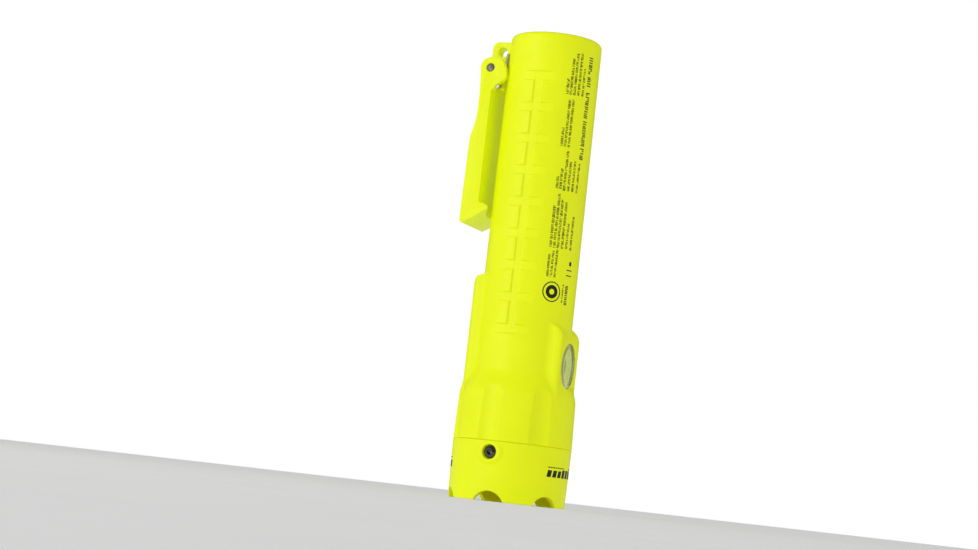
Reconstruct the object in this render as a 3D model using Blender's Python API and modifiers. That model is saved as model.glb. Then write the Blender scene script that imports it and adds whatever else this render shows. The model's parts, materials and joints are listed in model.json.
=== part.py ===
"""Straight two-light hand lamp for firefighters: a plastic tube with a spot light in
the head, a flood light in the side of the neck and a sprung magnetic pocket clip.

Frame: metres, +Z up. The lamp stands head down on its bezel rim at z = 0, its tail
points to +Z, the flood light looks to -Y and the clip and the switches are at +Y.
Lengths below are in millimetres and are turned into metres by MM.
"""

import math

import bmesh
import bpy
from mathutils import Matrix, Vector

MM = 0.001
GAP = 0.3                    # clearance between touching pieces
TURN = 2 * math.pi

# ---------------------------------------------------------------- driving dimensions
# four AA cells in two stacks, which set the size of the tube
CELL_R = 7.25
CELL_LENGTH = 50.5
CELL_BUTTON_R = 2.75
CELL_BUTTON_HEIGHT = 1.0
CELL_EDGE = 0.6              # rounding of the can
CELL_X = 7.4                 # half the distance between the two stacks

# battery carrier
CARRIER_R = 15.2
PLATE = 2.1                  # thickness of its end plates
REAR_FACE = 174.0            # inner face of the rear plate
FRONT_FACE = 67.8            # inner face of the front plate
STRIP = 0.4                  # thickness of the contact strips
STRIP_HALF_WIDTH = 3.5
CELL_SPRING_LENGTH = 2.6
CELL_SPRING_GAUGE = 0.7

# housing
LENGTH = 183.0
TUBE_R_TAIL = 17.9
TUBE_R_NECK = 18.3
TAIL_ROUNDING = 2.0
BORE_R = 15.6                # battery bore
TAIL_WALL_Z = 176.4          # inner face of the tail wall
BORE_STEP_Z = 46.0           # where the bore starts to widen towards the head
SHOULDER_TOP = 50.2
SHOULDER_POINTS = ((18.75, 48.9), (21.6, 43.9), (22.4, 42.7))
COLLAR_TOP = 41.4
COLLAR_R_TOP = 22.75
COLLAR_R = 23.2
COLLAR_WIDEST_Z = 24.0
SEAM_Z = 22.7                # lower edge of the collar
HEAD_BORE_R = 18.0
NECK_R = 20.3                # spigot that the bezel ring screws on to
NECK_END_Z = 10.7
O_RING_Z = 13.9
O_RING_R = 0.6
SEGMENTS = 48                # sides of the housing and the bezel

# collar flutes and grip pattern
FLUTE_ANGLES = (46, 97, 149, 211, 263, 314)      # degrees from the flood light
FLUTE_DEPTH = 1.6
FLUTE_HALF_ANGLE = math.radians(11)
GRIP_BARS = 9
GRIP_PITCH = 12.4
GRIP_BAR_HEIGHT = 3.6
GRIP_TOP_Z = 165.3           # middle of the highest bar
GRIP_HALF_ANGLE = math.radians(22)
GRIP_GROOVE_HALF_ANGLE = math.radians(5.2)
GRIP_DEPTH = 0.45

# flood light boss, at -Y
FLOOD_Z = 54.7
FLOOD_FACE = 19.3
FLOOD_BOSS_HALF_WIDTH = 11.8
FLOOD_BOSS_TOP = 70.3
FLOOD_BOSS_ARC = 6.0         # radius of its sloping top
FLOOD_LENS_R = 8.9
FLOOD_LENS_FACE = 19.0
FLOOD_LENS_BACK = 17.3
FLOOD_BORE_R = FLOOD_LENS_R + GAP
FLOOD_LEDGE = 16.2           # distance of the bore's floor from the body axis
FLOOD_CUP_R = 7.6
BOSS_FOOT_Z = 38.0           # both bosses run down into the collar

# switch housing, at +Y
SWITCH_FACE = 19.9
SWITCH_BOSS_HALF_WIDTH = 11.0
SWITCH_TOP = 87.0
SWITCH_BOSS_ARC = 3.4
SWITCH_MID_Z = 66.0
BUTTON_PITCH = 15.0
BUTTON_R = 5.0
BUTTON_FLANGE_R = 6.0
BUTTON_TRAVEL = 1.0
SWITCH_FRAME_WIDTH = 14.2
SWITCH_FRAME_LENGTH = 31.0
SWITCH_POCKET_FLOOR = 18.4
BUTTON_POCKET_FLOOR = 16.4
BUTTON_FLANGE = 0.8          # thickness of the flange under the frame
BUTTON_STEM_R = 2.2
BUTTON_STEM_END = 14.9
TACT_BASE = 10.4
TACT_TOP = 12.9

# tongue and clip, at +Y
HINGE_Y = 22.2
HINGE_Z = 168.8
PIN_R = 1.65
TONGUE_HALF_WIDTH = 3.0
TONGUE_EDGE = 25.6
TONGUE_TOP = 181.2
LANYARD_Y = 21.1
LANYARD_Z = 177.1
LANYARD_R = 1.85
CLIP_HALF_WIDTH = 12.3
EAR_THICKNESS = 3.3
CLIP_SPRING_GAUGE = 1.2      # wire of the torsion springs
CLIP_INNER = 21.0
CLIP_THIN_OUTER = 25.6
CLIP_OUTER = 28.0
CLIP_FOOT_Z = 106.2
CLIP_MAGNET_Z = 125.0
CLIP_MAGNET_R = 9.0
MAGNET_THICKNESS = 3.0

# bezel ring
BEZEL_TOP = SEAM_Z - GAP
BEZEL_R_TOP = 23.1
BEZEL_R_RIM = 22.67
BEZEL_BORE_R = NECK_R + 0.4
RIM_INNER_R = 20.4
LIP_R = 17.4
LIP_FRONT_Z = 5.2
LIP_BACK_Z = 6.6
SCALLOP_R = 6.5
SCALLOP_CENTRE_Z = -2.7
SCALLOP_ANGLES = (30, 90, 150)
LOCK_SCREW_Z = 18.5
LOCK_TURN = math.radians(-2.7)   # the screw's turn about the body from -X
LOCK_PAD_R = 4.1
LOCK_PAD_FACE = 23.15
LOCK_THREAD_R = 1.4
LOCK_HEAD_R = 2.6
LOCK_TIP = 18.4              # distance of the screw's tip from the body axis

# spot light, behind the front lens
MIRROR_FOCUS = 3.67
MIRROR_APEX_Z = 29.0
MIRROR_FRONT_Z = 9.3
MIRROR_BACK_Z = 28.1
MIRROR_WALL = 0.8
MIRROR_FLANGE_R = 17.6
LED_DOME_R = 1.6
SPOT_BOARD_Z = 29.7
SPOT_BOARD_THICKNESS = 1.5
SINK_R = 17.4
SINK_BACK_Z = 37.6

# chassis and driver board between the heat sink and the batteries
CHASSIS_R = 15.0
CHASSIS_PLATE = 1.6
CHASSIS_LOW = 37.9
CHASSIS_HIGH = 62.6
DRIVER_BOARD_Z = (39.9, 61.9)

# tail magnet
TAIL_MAGNET_R = 11.0
TAIL_POCKET_Z = 178.0

# the body axis stands this far behind the middle of the bounding box
AXIS_Y = (COLLAR_R - CLIP_OUTER) / 2

COLOURS = {
    "hi_vis_plastic": ((0.72, 0.88, 0.02), 0.35, 0.0),
    "black_rubber": ((0.02, 0.02, 0.02), 0.65, 0.0),
    "black_plastic": ((0.03, 0.03, 0.035), 0.45, 0.0),
    "black_steel": ((0.015, 0.015, 0.018), 0.3, 0.9),
    "steel": ((0.55, 0.56, 0.58), 0.28, 1.0),
    "nickel": ((0.7, 0.68, 0.63), 0.22, 1.0),
    "aluminium": ((0.75, 0.76, 0.78), 0.35, 1.0),
    "mirror": ((0.9, 0.9, 0.92), 0.06, 1.0),
    "clear_plastic": ((0.85, 0.9, 0.9), 0.08, 0.0),
    "led": ((0.95, 0.8, 0.25), 0.3, 0.0),
    "circuit_board": ((0.03, 0.22, 0.08), 0.4, 0.0),
    "cell_wrap": ((0.05, 0.07, 0.1), 0.35, 0.0),
    "wire": ((0.6, 0.04, 0.03), 0.4, 0.0),
}


# ---------------------------------------------------------------------------- set-up
def clear_scene():
    for old in list(bpy.data.objects):
        bpy.data.objects.remove(old, do_unlink=True)


def make_collection(name):
    collection = bpy.data.collections.new(name)
    bpy.context.scene.collection.children.link(collection)
    return collection


def make_material(name):
    colour, roughness, metallic = COLOURS[name]
    material = bpy.data.materials.new(name)
    material.use_nodes = True
    shader = material.node_tree.nodes["Principled BSDF"]
    shader.inputs["Base Color"].default_value = (*colour, 1.0)
    shader.inputs["Roughness"].default_value = roughness
    shader.inputs["Metallic"].default_value = metallic
    material.diffuse_color = (*colour, 1.0)
    return material


clear_scene()
PARTS = make_collection("firefighter_flashlight")
CUTTERS = make_collection("cutters")
FRAME = bpy.data.objects.new("body_axis", None)
FRAME.location = (0, AXIS_Y * MM, 0)
PARTS.objects.link(FRAME)


def add_object(name, data, finish, location=(0, 0, 0), rotation=(0, 0, 0)):
    """Link data as a part, or as a cutter when it has no finish."""
    obj = bpy.data.objects.new(name, data)
    obj.parent = FRAME
    obj.location = Vector(location) * MM
    obj.rotation_euler = rotation
    if finish:
        PARTS.objects.link(obj)
        data.materials.append(make_material(finish))
    else:
        CUTTERS.objects.link(obj)
        obj.hide_render = True
        obj.display_type = "WIRE"
    return obj


def mesh_from(bm, name, smooth_angle=30):
    bmesh.ops.scale(bm, vec=(MM, MM, MM), verts=bm.verts)
    bmesh.ops.recalc_face_normals(bm, faces=bm.faces)
    mesh = bpy.data.meshes.new(name)
    bm.to_mesh(mesh)
    bm.free()
    if smooth_angle:
        mesh.shade_smooth()
        mesh.set_sharp_from_angle(angle=math.radians(smooth_angle))
    return mesh


# ------------------------------------------------------------------------ directions
ALONG_LOCK = (0, -math.pi / 2, LOCK_TURN)    # turns local +Z to the named direction
ALONG_MINUS_Y = (math.pi / 2, 0, 0)
ALONG_PLUS_Y = (-math.pi / 2, 0, 0)
ALONG_X = (0, math.pi / 2, 0)


def on_lock_axis(radius):
    """The point on the locking screw's axis at this radius from the body axis."""
    return (-radius * math.cos(LOCK_TURN), -radius * math.sin(LOCK_TURN), LOCK_SCREW_Z)


# ----------------------------------------------------------------------- shape tools
def arc(cx, cz, radius, start, end, steps=5):
    """Points on an arc from start to end, in degrees, both ends included."""
    points = []
    for i in range(steps + 1):
        angle = math.radians(start + (end - start) * i / steps)
        points.append((cx + radius * math.cos(angle), cz + radius * math.sin(angle)))
    return points


def turned(name, profile, finish, location=(0, 0, 0), rotation=(0, 0, 0), steps=32):
    """Turn (radius, height) points about local Z: outer side first, top to bottom.

    A profile that starts and ends on the axis stays open there, any other is a loop.
    """
    bm = bmesh.new()
    verts = [bm.verts.new((r, 0, z)) for r, z in profile]
    for a, b in zip(verts, verts[1:]):
        bm.edges.new((a, b))
    if profile[0][0] > 0:
        bm.edges.new((verts[-1], verts[0]))
    bmesh.ops.scale(bm, vec=(MM, MM, MM), verts=bm.verts)
    mesh = bpy.data.meshes.new(name)
    bm.to_mesh(mesh)
    bm.free()
    obj = add_object(name, mesh, finish, location, rotation)
    screw = obj.modifiers.new("turn", "SCREW")
    screw.axis = "Z"
    screw.angle = TURN
    screw.steps = steps
    screw.render_steps = steps
    screw.use_merge_vertices = True
    screw.merge_threshold = 0.00001
    screw.use_smooth_shade = True
    return obj


def cylinder(name, radius, length, finish, location=(0, 0, 0), rotation=(0, 0, 0), sides=24):
    """A round bar that starts at its location and runs along local +Z."""
    bm = bmesh.new()
    middle = Matrix.Translation((0, 0, length / 2))
    bmesh.ops.create_cone(bm, cap_ends=True, segments=sides, radius1=radius,
                          radius2=radius, depth=length, matrix=middle)
    return add_object(name, mesh_from(bm, name), finish, location, rotation)


def block(name, low, high, finish, bevel=0.0):
    """A box between two corners, with its edges rounded by bevel."""
    size = [b - a for a, b in zip(low, high)]
    middle = [(a + b) / 2 for a, b in zip(low, high)]
    bm = bmesh.new()
    bmesh.ops.create_cube(bm, size=1.0)
    bmesh.ops.scale(bm, vec=size, verts=bm.verts)
    obj = add_object(name, mesh_from(bm, name, 0), finish, middle)
    if bevel:
        round_edges(obj, bevel)
    return obj


def outline_prism(name, points, x_low, x_high, finish):
    """Extrude a (y, z) outline from x_low to x_high."""
    bm = bmesh.new()
    verts = [bm.verts.new((x_low, y, z)) for y, z in points]
    face = bm.faces.new(verts)
    extruded = bmesh.ops.extrude_face_region(bm, geom=[face])
    moved = [v for v in extruded["geom"] if isinstance(v, bmesh.types.BMVert)]
    bmesh.ops.translate(bm, vec=(x_high - x_low, 0, 0), verts=moved)
    return add_object(name, mesh_from(bm, name), finish)


def sector_ring(bm, r_in, r_out, z_low, z_high, middle_angle, half_angle, steps):
    """Add a closed sector of a rectangular ring to bm, by spinning one face."""
    corners = ((r_in, z_low), (r_out, z_low), (r_out, z_high), (r_in, z_high))
    face = bm.faces.new([bm.verts.new((r, 0, z)) for r, z in corners])
    start = Matrix.Rotation(middle_angle - half_angle, 4, "Z")
    bmesh.ops.transform(bm, matrix=start, verts=face.verts)
    step = Matrix.Rotation(2 * half_angle / steps, 4, "Z")
    for i in range(steps):
        extruded = bmesh.ops.extrude_face_region(bm, geom=[face])
        moved = [v for v in extruded["geom"] if isinstance(v, bmesh.types.BMVert)]
        bmesh.ops.transform(bm, matrix=step, verts=moved)
        if i:
            bm.faces.remove(face)
        face = next(f for f in extruded["geom"] if isinstance(f, bmesh.types.BMFace))


def round_edges(obj, width, segments=2, angle=40):
    bevel = obj.modifiers.new("rounding", "BEVEL")
    bevel.width = width * MM
    bevel.segments = segments
    bevel.limit_method = "ANGLE"
    bevel.angle_limit = math.radians(angle)


def boolean(obj, other, operation):
    modifier = obj.modifiers.new(other.name, "BOOLEAN")
    modifier.operation = operation
    modifier.solver = "EXACT"
    modifier.object = other


def cut(obj, *cutters):
    for cutter in cutters:
        boolean(obj, cutter, "DIFFERENCE")


def join(obj, *others):
    for other in others:
        boolean(obj, other, "UNION")


def wire(name, strands, diameter, finish, location=(0, 0, 0), resolution=1):
    """One or more strands of round wire through (x, y, z) points."""
    curve = bpy.data.curves.new(name, "CURVE")
    curve.dimensions = "3D"
    curve.bevel_depth = diameter / 2 * MM
    curve.bevel_resolution = resolution
    curve.use_fill_caps = True
    for points in strands:
        spline = curve.splines.new("POLY")
        spline.points.add(len(points) - 1)
        for point, co in zip(spline.points, points):
            point.co = (*(Vector(co) * MM), 1.0)
    return add_object(name, curve, finish, location)


# --------------------------------------------------------------------------- housing
def housing_profile():
    """Outside, solid for now, from the tail's magnet pocket down to the spigot's end."""
    tail = arc(TUBE_R_TAIL - TAIL_ROUNDING, LENGTH - TAIL_ROUNDING, TAIL_ROUNDING, 90, 0, 4)
    pocket_r = TAIL_MAGNET_R + GAP
    outer = [(0, TAIL_POCKET_Z), (pocket_r, TAIL_POCKET_Z), (pocket_r, LENGTH), *tail]
    outer += [(TUBE_R_NECK, SHOULDER_TOP), *SHOULDER_POINTS]
    outer += [(COLLAR_R_TOP, COLLAR_TOP), (COLLAR_R, COLLAR_WIDEST_Z), (23.1, SEAM_Z)]
    groove_r = NECK_R - 1.3
    groove_top = O_RING_Z + 1.0
    groove_low = O_RING_Z - 1.0
    spigot = [(NECK_R, SEAM_Z), (NECK_R, groove_top), (groove_r, groove_top)]
    spigot += [(groove_r, groove_low), (NECK_R, groove_low), (NECK_R, NECK_END_Z + 0.5)]
    spigot += [(NECK_R - 0.5, NECK_END_Z), (0, NECK_END_Z)]
    return outer + spigot


def flood_boss():
    root = -8.0
    corner = arc(FLOOD_BOSS_ARC - FLOOD_FACE, FLOOD_BOSS_TOP - FLOOD_BOSS_ARC, FLOOD_BOSS_ARC,
                 90, 180, 4)
    points = [(root, BOSS_FOOT_Z), (root, FLOOD_BOSS_TOP), *corner, (-FLOOD_FACE, BOSS_FOOT_Z)]
    boss = outline_prism("flood_boss", points, -FLOOD_BOSS_HALF_WIDTH, FLOOD_BOSS_HALF_WIDTH, None)
    round_edges(boss, 2.4)
    return boss


def switch_boss():
    root = 12.0
    corner = arc(SWITCH_FACE - SWITCH_BOSS_ARC, SWITCH_TOP - SWITCH_BOSS_ARC, SWITCH_BOSS_ARC,
                 0, 90, 4)
    points = [(root, BOSS_FOOT_Z), (SWITCH_FACE, BOSS_FOOT_Z), *corner, (root, SWITCH_TOP)]
    boss = outline_prism("switch_boss", points, -SWITCH_BOSS_HALF_WIDTH, SWITCH_BOSS_HALF_WIDTH,
                         None)
    round_edges(boss, 2.0)
    return boss


def tongue():
    corner = arc(TONGUE_EDGE - 2.5, TONGUE_TOP - 2.5, 2.5, 0, 90, 4)
    points = [(16.2, 161.0), (19.0, 161.6), (TONGUE_EDGE, 166.0), *corner, (16.2, TONGUE_TOP)]
    return outline_prism("tongue", points, -TONGUE_HALF_WIDTH, TONGUE_HALF_WIDTH, None)


def flute_cutters():
    """Wide shallow channels down the collar, as the sides of large cylinders."""
    chord = COLLAR_R * math.sin(FLUTE_HALF_ANGLE)
    flat = COLLAR_R * math.cos(FLUTE_HALF_ANGLE)
    floor = COLLAR_R - FLUTE_DEPTH - 0.1
    centre = (flat ** 2 - floor ** 2 + chord ** 2) / (2 * (flat - floor))
    cutters = []
    for degrees in FLUTE_ANGLES:
        angle = math.radians(degrees - 90)
        place = (centre * math.cos(angle), centre * math.sin(angle), SEAM_Z - 0.15)
        name = "flute_%03d" % degrees
        turn = (0, 0, angle + math.pi / 96)
        cutters.append(cylinder(name, centre - floor, 30.0, None, place, turn, 96))
    return cutters


def grip_cutters():
    """Nine shallow bars on each side and the groove that links them."""
    r_in = (TUBE_R_TAIL + TUBE_R_NECK) / 2 - GRIP_DEPTH
    bars = bmesh.new()
    groove = bmesh.new()
    bottom = GRIP_TOP_Z - GRIP_PITCH * (GRIP_BARS - 1)
    for side in (0, math.pi):
        for i in range(GRIP_BARS):
            z = GRIP_TOP_Z - GRIP_PITCH * i
            sector_ring(bars, r_in, 20.0, z - GRIP_BAR_HEIGHT / 2, z + GRIP_BAR_HEIGHT / 2,
                        side, GRIP_HALF_ANGLE, 4)
        sector_ring(groove, r_in, 20.0, bottom, GRIP_TOP_Z, side, GRIP_GROOVE_HALF_ANGLE, 3)
    return (add_object("grip_bars", mesh_from(bars, "grip_bars"), None),
            add_object("grip_groove", mesh_from(groove, "grip_groove"), None))


def make_housing():
    housing = turned("main_housing", housing_profile(), "hi_vis_plastic", steps=SEGMENTS)
    join(housing, flood_boss(), switch_boss(), tongue())
    bore = turned("housing_bore", [(0, TAIL_WALL_Z), (BORE_R, TAIL_WALL_Z), (BORE_R, BORE_STEP_Z),
                                   (HEAD_BORE_R, BORE_STEP_Z - 4.0), (HEAD_BORE_R, 5.0), (0, 5.0)],
                  None)
    cut(housing, bore, *flute_cutters(), *grip_cutters())
    flood = (0, -30.0, FLOOD_Z)
    cut(housing,
        cylinder("flood_bore", FLOOD_BORE_R, 30.0 - FLOOD_LEDGE, None, flood, ALONG_PLUS_Y, 44),
        cylinder("flood_hole", FLOOD_CUP_R + GAP, 20.0, None, flood, ALONG_PLUS_Y))
    half_w = SWITCH_FRAME_WIDTH / 2 + GAP
    half_l = SWITCH_FRAME_LENGTH / 2 + GAP
    cut(housing, block("switch_pocket", (-half_w, SWITCH_POCKET_FLOOR, SWITCH_MID_Z - half_l),
                       (half_w, 25.0, SWITCH_MID_Z + half_l), None))
    for name, z in button_heights():
        place = (0, 24.0, z)
        cut(housing,
            cylinder(name + "_pocket", BUTTON_FLANGE_R + 0.4, 24.0 - BUTTON_POCKET_FLOOR,
                     None, place, ALONG_MINUS_Y),
            cylinder(name + "_stem_hole", BUTTON_STEM_R + 0.4, 12.0, None, place,
                     ALONG_MINUS_Y, 20))
    hinge = (-6.0, HINGE_Y, HINGE_Z)
    lanyard = (-6.0, LANYARD_Y, LANYARD_Z)
    lock = on_lock_axis(15.0)
    cut(housing,
        cylinder("hinge_bore", PIN_R + GAP, 12.0, None, hinge, ALONG_X, 24),
        cylinder("lanyard_hole", LANYARD_R, 12.0, None, lanyard, ALONG_X, 24),
        cylinder("lock_hole", LOCK_THREAD_R + GAP, 10.0, None, lock, ALONG_LOCK, 20))


def button_heights():
    return (("flood_button", SWITCH_MID_Z - BUTTON_PITCH / 2),
            ("spot_button", SWITCH_MID_Z + BUTTON_PITCH / 2))


# ------------------------------------------------------------------ head and its lens
def make_bezel():
    outer = [(BEZEL_R_TOP, BEZEL_TOP), (BEZEL_R_TOP, 18.0), (BEZEL_R_RIM, 0.4)]
    outer += [(BEZEL_R_RIM - 0.4, 0.0), (RIM_INNER_R, 0.0), (LIP_R + 2.2, LIP_FRONT_Z)]
    inner = [(LIP_R, LIP_FRONT_Z), (LIP_R, LIP_BACK_Z), (BEZEL_BORE_R, LIP_BACK_Z)]
    inner += [(BEZEL_BORE_R, BEZEL_TOP)]
    bezel = turned("bezel_ring", outer + inner, "hi_vis_plastic", steps=SEGMENTS)
    pad_start = on_lock_axis(21.2)
    pad = cylinder("lock_pad", LOCK_PAD_R, LOCK_PAD_FACE - 21.2, None, pad_start, ALONG_LOCK)
    join(bezel, pad)
    for degrees in SCALLOP_ANGLES:
        angle = math.radians(degrees - 90)
        start = (-30 * math.cos(angle), -30 * math.sin(angle), SCALLOP_CENTRE_Z)
        turn = (0, math.pi / 2, angle)
        name = "scallop_%03d" % degrees
        cut(bezel, cylinder(name, SCALLOP_R, 60.0, None, start, turn, 32))
    start = on_lock_axis(21.3)
    through = on_lock_axis(18.0)
    cut(bezel,
        cylinder("lock_counterbore", LOCK_HEAD_R + GAP, 4.0, None, start, ALONG_LOCK, 24),
        cylinder("lock_clearance", LOCK_THREAD_R + GAP, 8.0, None, through, ALONG_LOCK, 20))


def make_locking_screw():
    head = [(0, 4.7), (1.5, 4.5), (2.3, 4.0), (LOCK_HEAD_R, 3.4), (LOCK_HEAD_R, 3.0)]
    shank = [(LOCK_THREAD_R, 3.0), (LOCK_THREAD_R, 0.4), (LOCK_THREAD_R - 0.3, 0.0), (0, 0.0)]
    screw = turned("locking_screw", head + shank, "black_steel", on_lock_axis(LOCK_TIP),
                   ALONG_LOCK, 16)
    socket = on_lock_axis(LOCK_TIP + 3.3)
    cut(screw, cylinder("hex_socket", 1.15, 3.0, None, socket, ALONG_LOCK, 6))


def make_lens_stack():
    turned("front_lens", [(0, 8.9), (19.2, 8.9), (19.2, 6.9), (0, 6.9)], "clear_plastic")
    turned("lens_gasket", [(19.8, 10.4), (19.8, 9.2), (17.9, 9.2), (17.9, 10.4)],
           "black_rubber")
    turned("bezel_o_ring", arc(NECK_R - 0.35, O_RING_Z, O_RING_R, 90, -210, 5), "black_rubber")


def make_spot_reflector():
    """A paraboloid of constant wall with a flange that rests behind the front lens."""
    rings = 6
    heights = [MIRROR_FRONT_Z + (MIRROR_BACK_Z - MIRROR_FRONT_Z) * i / rings
               for i in range(rings + 1)]
    inside = [(math.sqrt(4 * MIRROR_FOCUS * (MIRROR_APEX_Z - z)), z) for z in heights]
    outside = [(r + MIRROR_WALL, z) for r, z in reversed(inside[1:])]
    flange = [(MIRROR_FLANGE_R, inside[1][1]), (MIRROR_FLANGE_R, MIRROR_FRONT_Z)]
    turned("spot_reflector", outside + flange + inside, "mirror", steps=28)


def make_spot_led():
    base = SPOT_BOARD_Z - GAP
    top = base - 0.8
    dome = arc(0, top, LED_DOME_R, -20, -90, 4)
    led = [(0, base), (2.8, base), (2.8, top), (LED_DOME_R, top), *dome]
    turned("spot_led", led, "led", steps=16)


def make_heat_sink():
    """The aluminium disc behind the spot light, with its LED board and two screws."""
    back = SPOT_BOARD_Z + SPOT_BOARD_THICKNESS
    board = turned("spot_led_board", [(0, back), (9.0, back), (9.0, SPOT_BOARD_Z),
                                      (0, SPOT_BOARD_Z)], "circuit_board")
    front = back + GAP
    rim = 2.0
    groove_r = SINK_R - 2.8
    fins = [(0, SINK_BACK_Z), (SINK_R, SINK_BACK_Z)]
    fins += [(SINK_R, SINK_BACK_Z - rim), (groove_r, SINK_BACK_Z - rim)]
    fins += [(groove_r, front + rim), (SINK_R, front + rim), (SINK_R, front), (0, front)]
    sink = turned("heat_sink", fins, "aluminium")
    wires = (0, 8.0, SPOT_BOARD_Z - 1.7)
    cut(board, cylinder("board_wire_slot", 2.2, 6.0, None, wires))
    cut(sink, cylinder("sink_wire_slot", 2.6, 12.0, None, wires))
    for i, x in enumerate((-6.2, 6.2)):
        hole = (x, 0, SPOT_BOARD_Z - 1.2)
        depth = 6.5
        cut(board, cylinder("board_screw_hole_%d" % i, 1.2, depth, None, hole, sides=16))
        cut(sink, cylinder("sink_screw_hole_%d" % i, 1.2, depth, None, hole, sides=16))
        screw = [(0, 4.8), (0.85, 4.8), (0.85, 0), (1.9, 0), (1.9, -0.6), (1.4, -1.0), (0, -1.0)]
        place = (x, 0, SPOT_BOARD_Z - GAP)
        turned("led_board_screw_%d" % (i + 1), screw, "steel", place, steps=16)


# ----------------------------------------------------------------------- flood light
def make_flood_light():
    place = (0, 0, FLOOD_Z)
    edge = FLOOD_LENS_FACE - 0.25
    lens = [(0, FLOOD_LENS_FACE), (6.4, FLOOD_LENS_FACE - 0.05), (FLOOD_LENS_R, edge)]
    lens += [(FLOOD_LENS_R, FLOOD_LENS_BACK), (0, FLOOD_LENS_BACK)]
    turned("flood_lens", lens, "clear_plastic", place, ALONG_MINUS_Y, 32)
    front = FLOOD_LENS_BACK - GAP
    back = FLOOD_LEDGE + GAP
    inner = FLOOD_CUP_R + 0.4
    turned("flood_gasket", [(FLOOD_LENS_R, front), (FLOOD_LENS_R, back), (inner, back),
                            (inner, front)], "black_rubber", place, ALONG_MINUS_Y, 32)
    rim = 16.8
    outside = [(FLOOD_CUP_R, rim), (FLOOD_CUP_R, 15.6), (6.2, 12.4), (3.8, 9.9), (2.9, 9.9)]
    inside = [(3.3, 10.6), (5.4, 12.9), (6.8, 15.9), (6.8, rim)]
    turned("flood_reflector", outside + inside, "mirror", place, ALONG_MINUS_Y, 28)
    led = [(0, 11.0), (0.9, 10.8), (1.5, 10.2), (1.6, 9.6), (2.2, 9.6), (2.2, 9.0), (0, 9.0)]
    turned("flood_led", led, "led", place, ALONG_MINUS_Y, 20)
    block("flood_led_board", (-7.0, -8.7, FLOOD_Z - 7.0), (7.0, -7.5, FLOOD_Z + 7.0),
          "circuit_board")


# -------------------------------------------------------------------------- switches
def make_switches():
    frame = block("switch_frame", (-SWITCH_FRAME_WIDTH / 2, SWITCH_POCKET_FLOOR + GAP,
                                   SWITCH_MID_Z - SWITCH_FRAME_LENGTH / 2),
                  (SWITCH_FRAME_WIDTH / 2, SWITCH_FACE, SWITCH_MID_Z + SWITCH_FRAME_LENGTH / 2),
                  "black_plastic", 0.3)
    board_face = TACT_BASE - GAP
    block("switch_board", (-6.5, board_face - 1.2, 43.0), (6.5, board_face, 82.0), "circuit_board")
    cap_top = SWITCH_FACE + 0.6
    flange_top = SWITCH_POCKET_FLOOR
    flange_low = flange_top - BUTTON_FLANGE
    for name, z in button_heights():
        place = (0, 24.0, z)
        cut(frame, cylinder(name + "_window", BUTTON_R + GAP, 8.0, None, place, ALONG_MINUS_Y))
        cap = [(0, cap_top), (2.6, cap_top - 0.1), (4.4, cap_top - 0.5), (BUTTON_R, cap_top - 1.1)]
        flange = [(BUTTON_R, flange_top), (BUTTON_FLANGE_R, flange_top)]
        flange += [(BUTTON_FLANGE_R, flange_low), (BUTTON_STEM_R, flange_low)]
        stem = [(BUTTON_STEM_R, BUTTON_STEM_END + 0.3), (BUTTON_STEM_R - 0.3, BUTTON_STEM_END)]
        stem += [(0, BUTTON_STEM_END)]
        button = turned(name, cap + flange + stem, "black_rubber", (0, 0, z), ALONG_PLUS_Y, 20)
        cut(button, cylinder(name + "_dimple", 1.2, 4.0, None, (0, cap_top - 0.35, z),
                             ALONG_PLUS_Y, 16))
        tact = block(name.replace("button", "tact_switch"), (-3.0, TACT_BASE, z - 3.0),
                     (3.0, TACT_TOP, z + 3.0), "black_plastic")
        join(tact, cylinder(name + "_actuator", 1.7, 1.6, None, (0, TACT_TOP - 0.8, z),
                            ALONG_PLUS_Y, 16))


# ------------------------------------------------------------ chassis and electronics
def make_head_chassis():
    base = cylinder("head_chassis", CHASSIS_R, CHASSIS_PLATE, "black_plastic",
                    (0, 0, CHASSIS_LOW), sides=40)
    top = cylinder("chassis_top", CHASSIS_R, CHASSIS_PLATE, None, (0, 0, CHASSIS_HIGH), sides=40)
    overlap = CHASSIS_PLATE / 2
    uprights = []
    for side in (-1, 1):
        low, high = sorted((side * 12.4, side * 13.9))
        uprights.append(block("upright_%d" % side, (low, -4.0, CHASSIS_LOW + overlap),
                              (high, 4.0, CHASSIS_HIGH + overlap), None))
    join(base, top, *uprights)
    cut(base,
        block("switch_board_slot", (-8.0, 8.5, 36.0), (8.0, 20.0, 66.0), None),
        block("flood_space", (-9.0, -20.0, 45.0), (9.0, -7.0, 66.0), None),
        cylinder("chassis_wire_hole", 2.8, 10.0, None, (0, 5.3, 34.0)),
        block("contact_space", (-10.0, -3.0, 60.0), (10.0, 3.0, 66.0), None))


def make_driver_board():
    low, high = DRIVER_BOARD_Z
    block("driver_board", (-11.9, -0.6, low), (11.9, 0.6, high), "circuit_board")
    choke = [(0, 5.5), (3.6, 5.5), (3.6, 4.6), (2.6, 4.4), (2.6, 1.9), (3.6, 1.7), (3.6, 0.9),
             (0, 0.9)]
    turned("driver_inductor", choke, "black_plastic", (-6.5, 0, 54.0), ALONG_MINUS_Y, 20)
    block("driver_chip", (3.0, -2.2, 48.0), (8.0, -0.9, 53.0), "black_plastic")


def make_led_wires():
    """Two leads from the spot light's board through the heat sink to the driver board."""
    for name, x in (("spot_led_wire_red", -1.0), ("spot_led_wire_black", 1.0)):
        route = [(x, 8.0, 31.9), (x, 7.6, 36.0), (x, 6.6, 38.2), (x, 5.2, 39.6),
                 (x, 3.6, 41.4), (x, 2.2, 43.6), (x, 1.5, 46.0)]
        wire(name, [route], 1.0, "wire")


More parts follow.
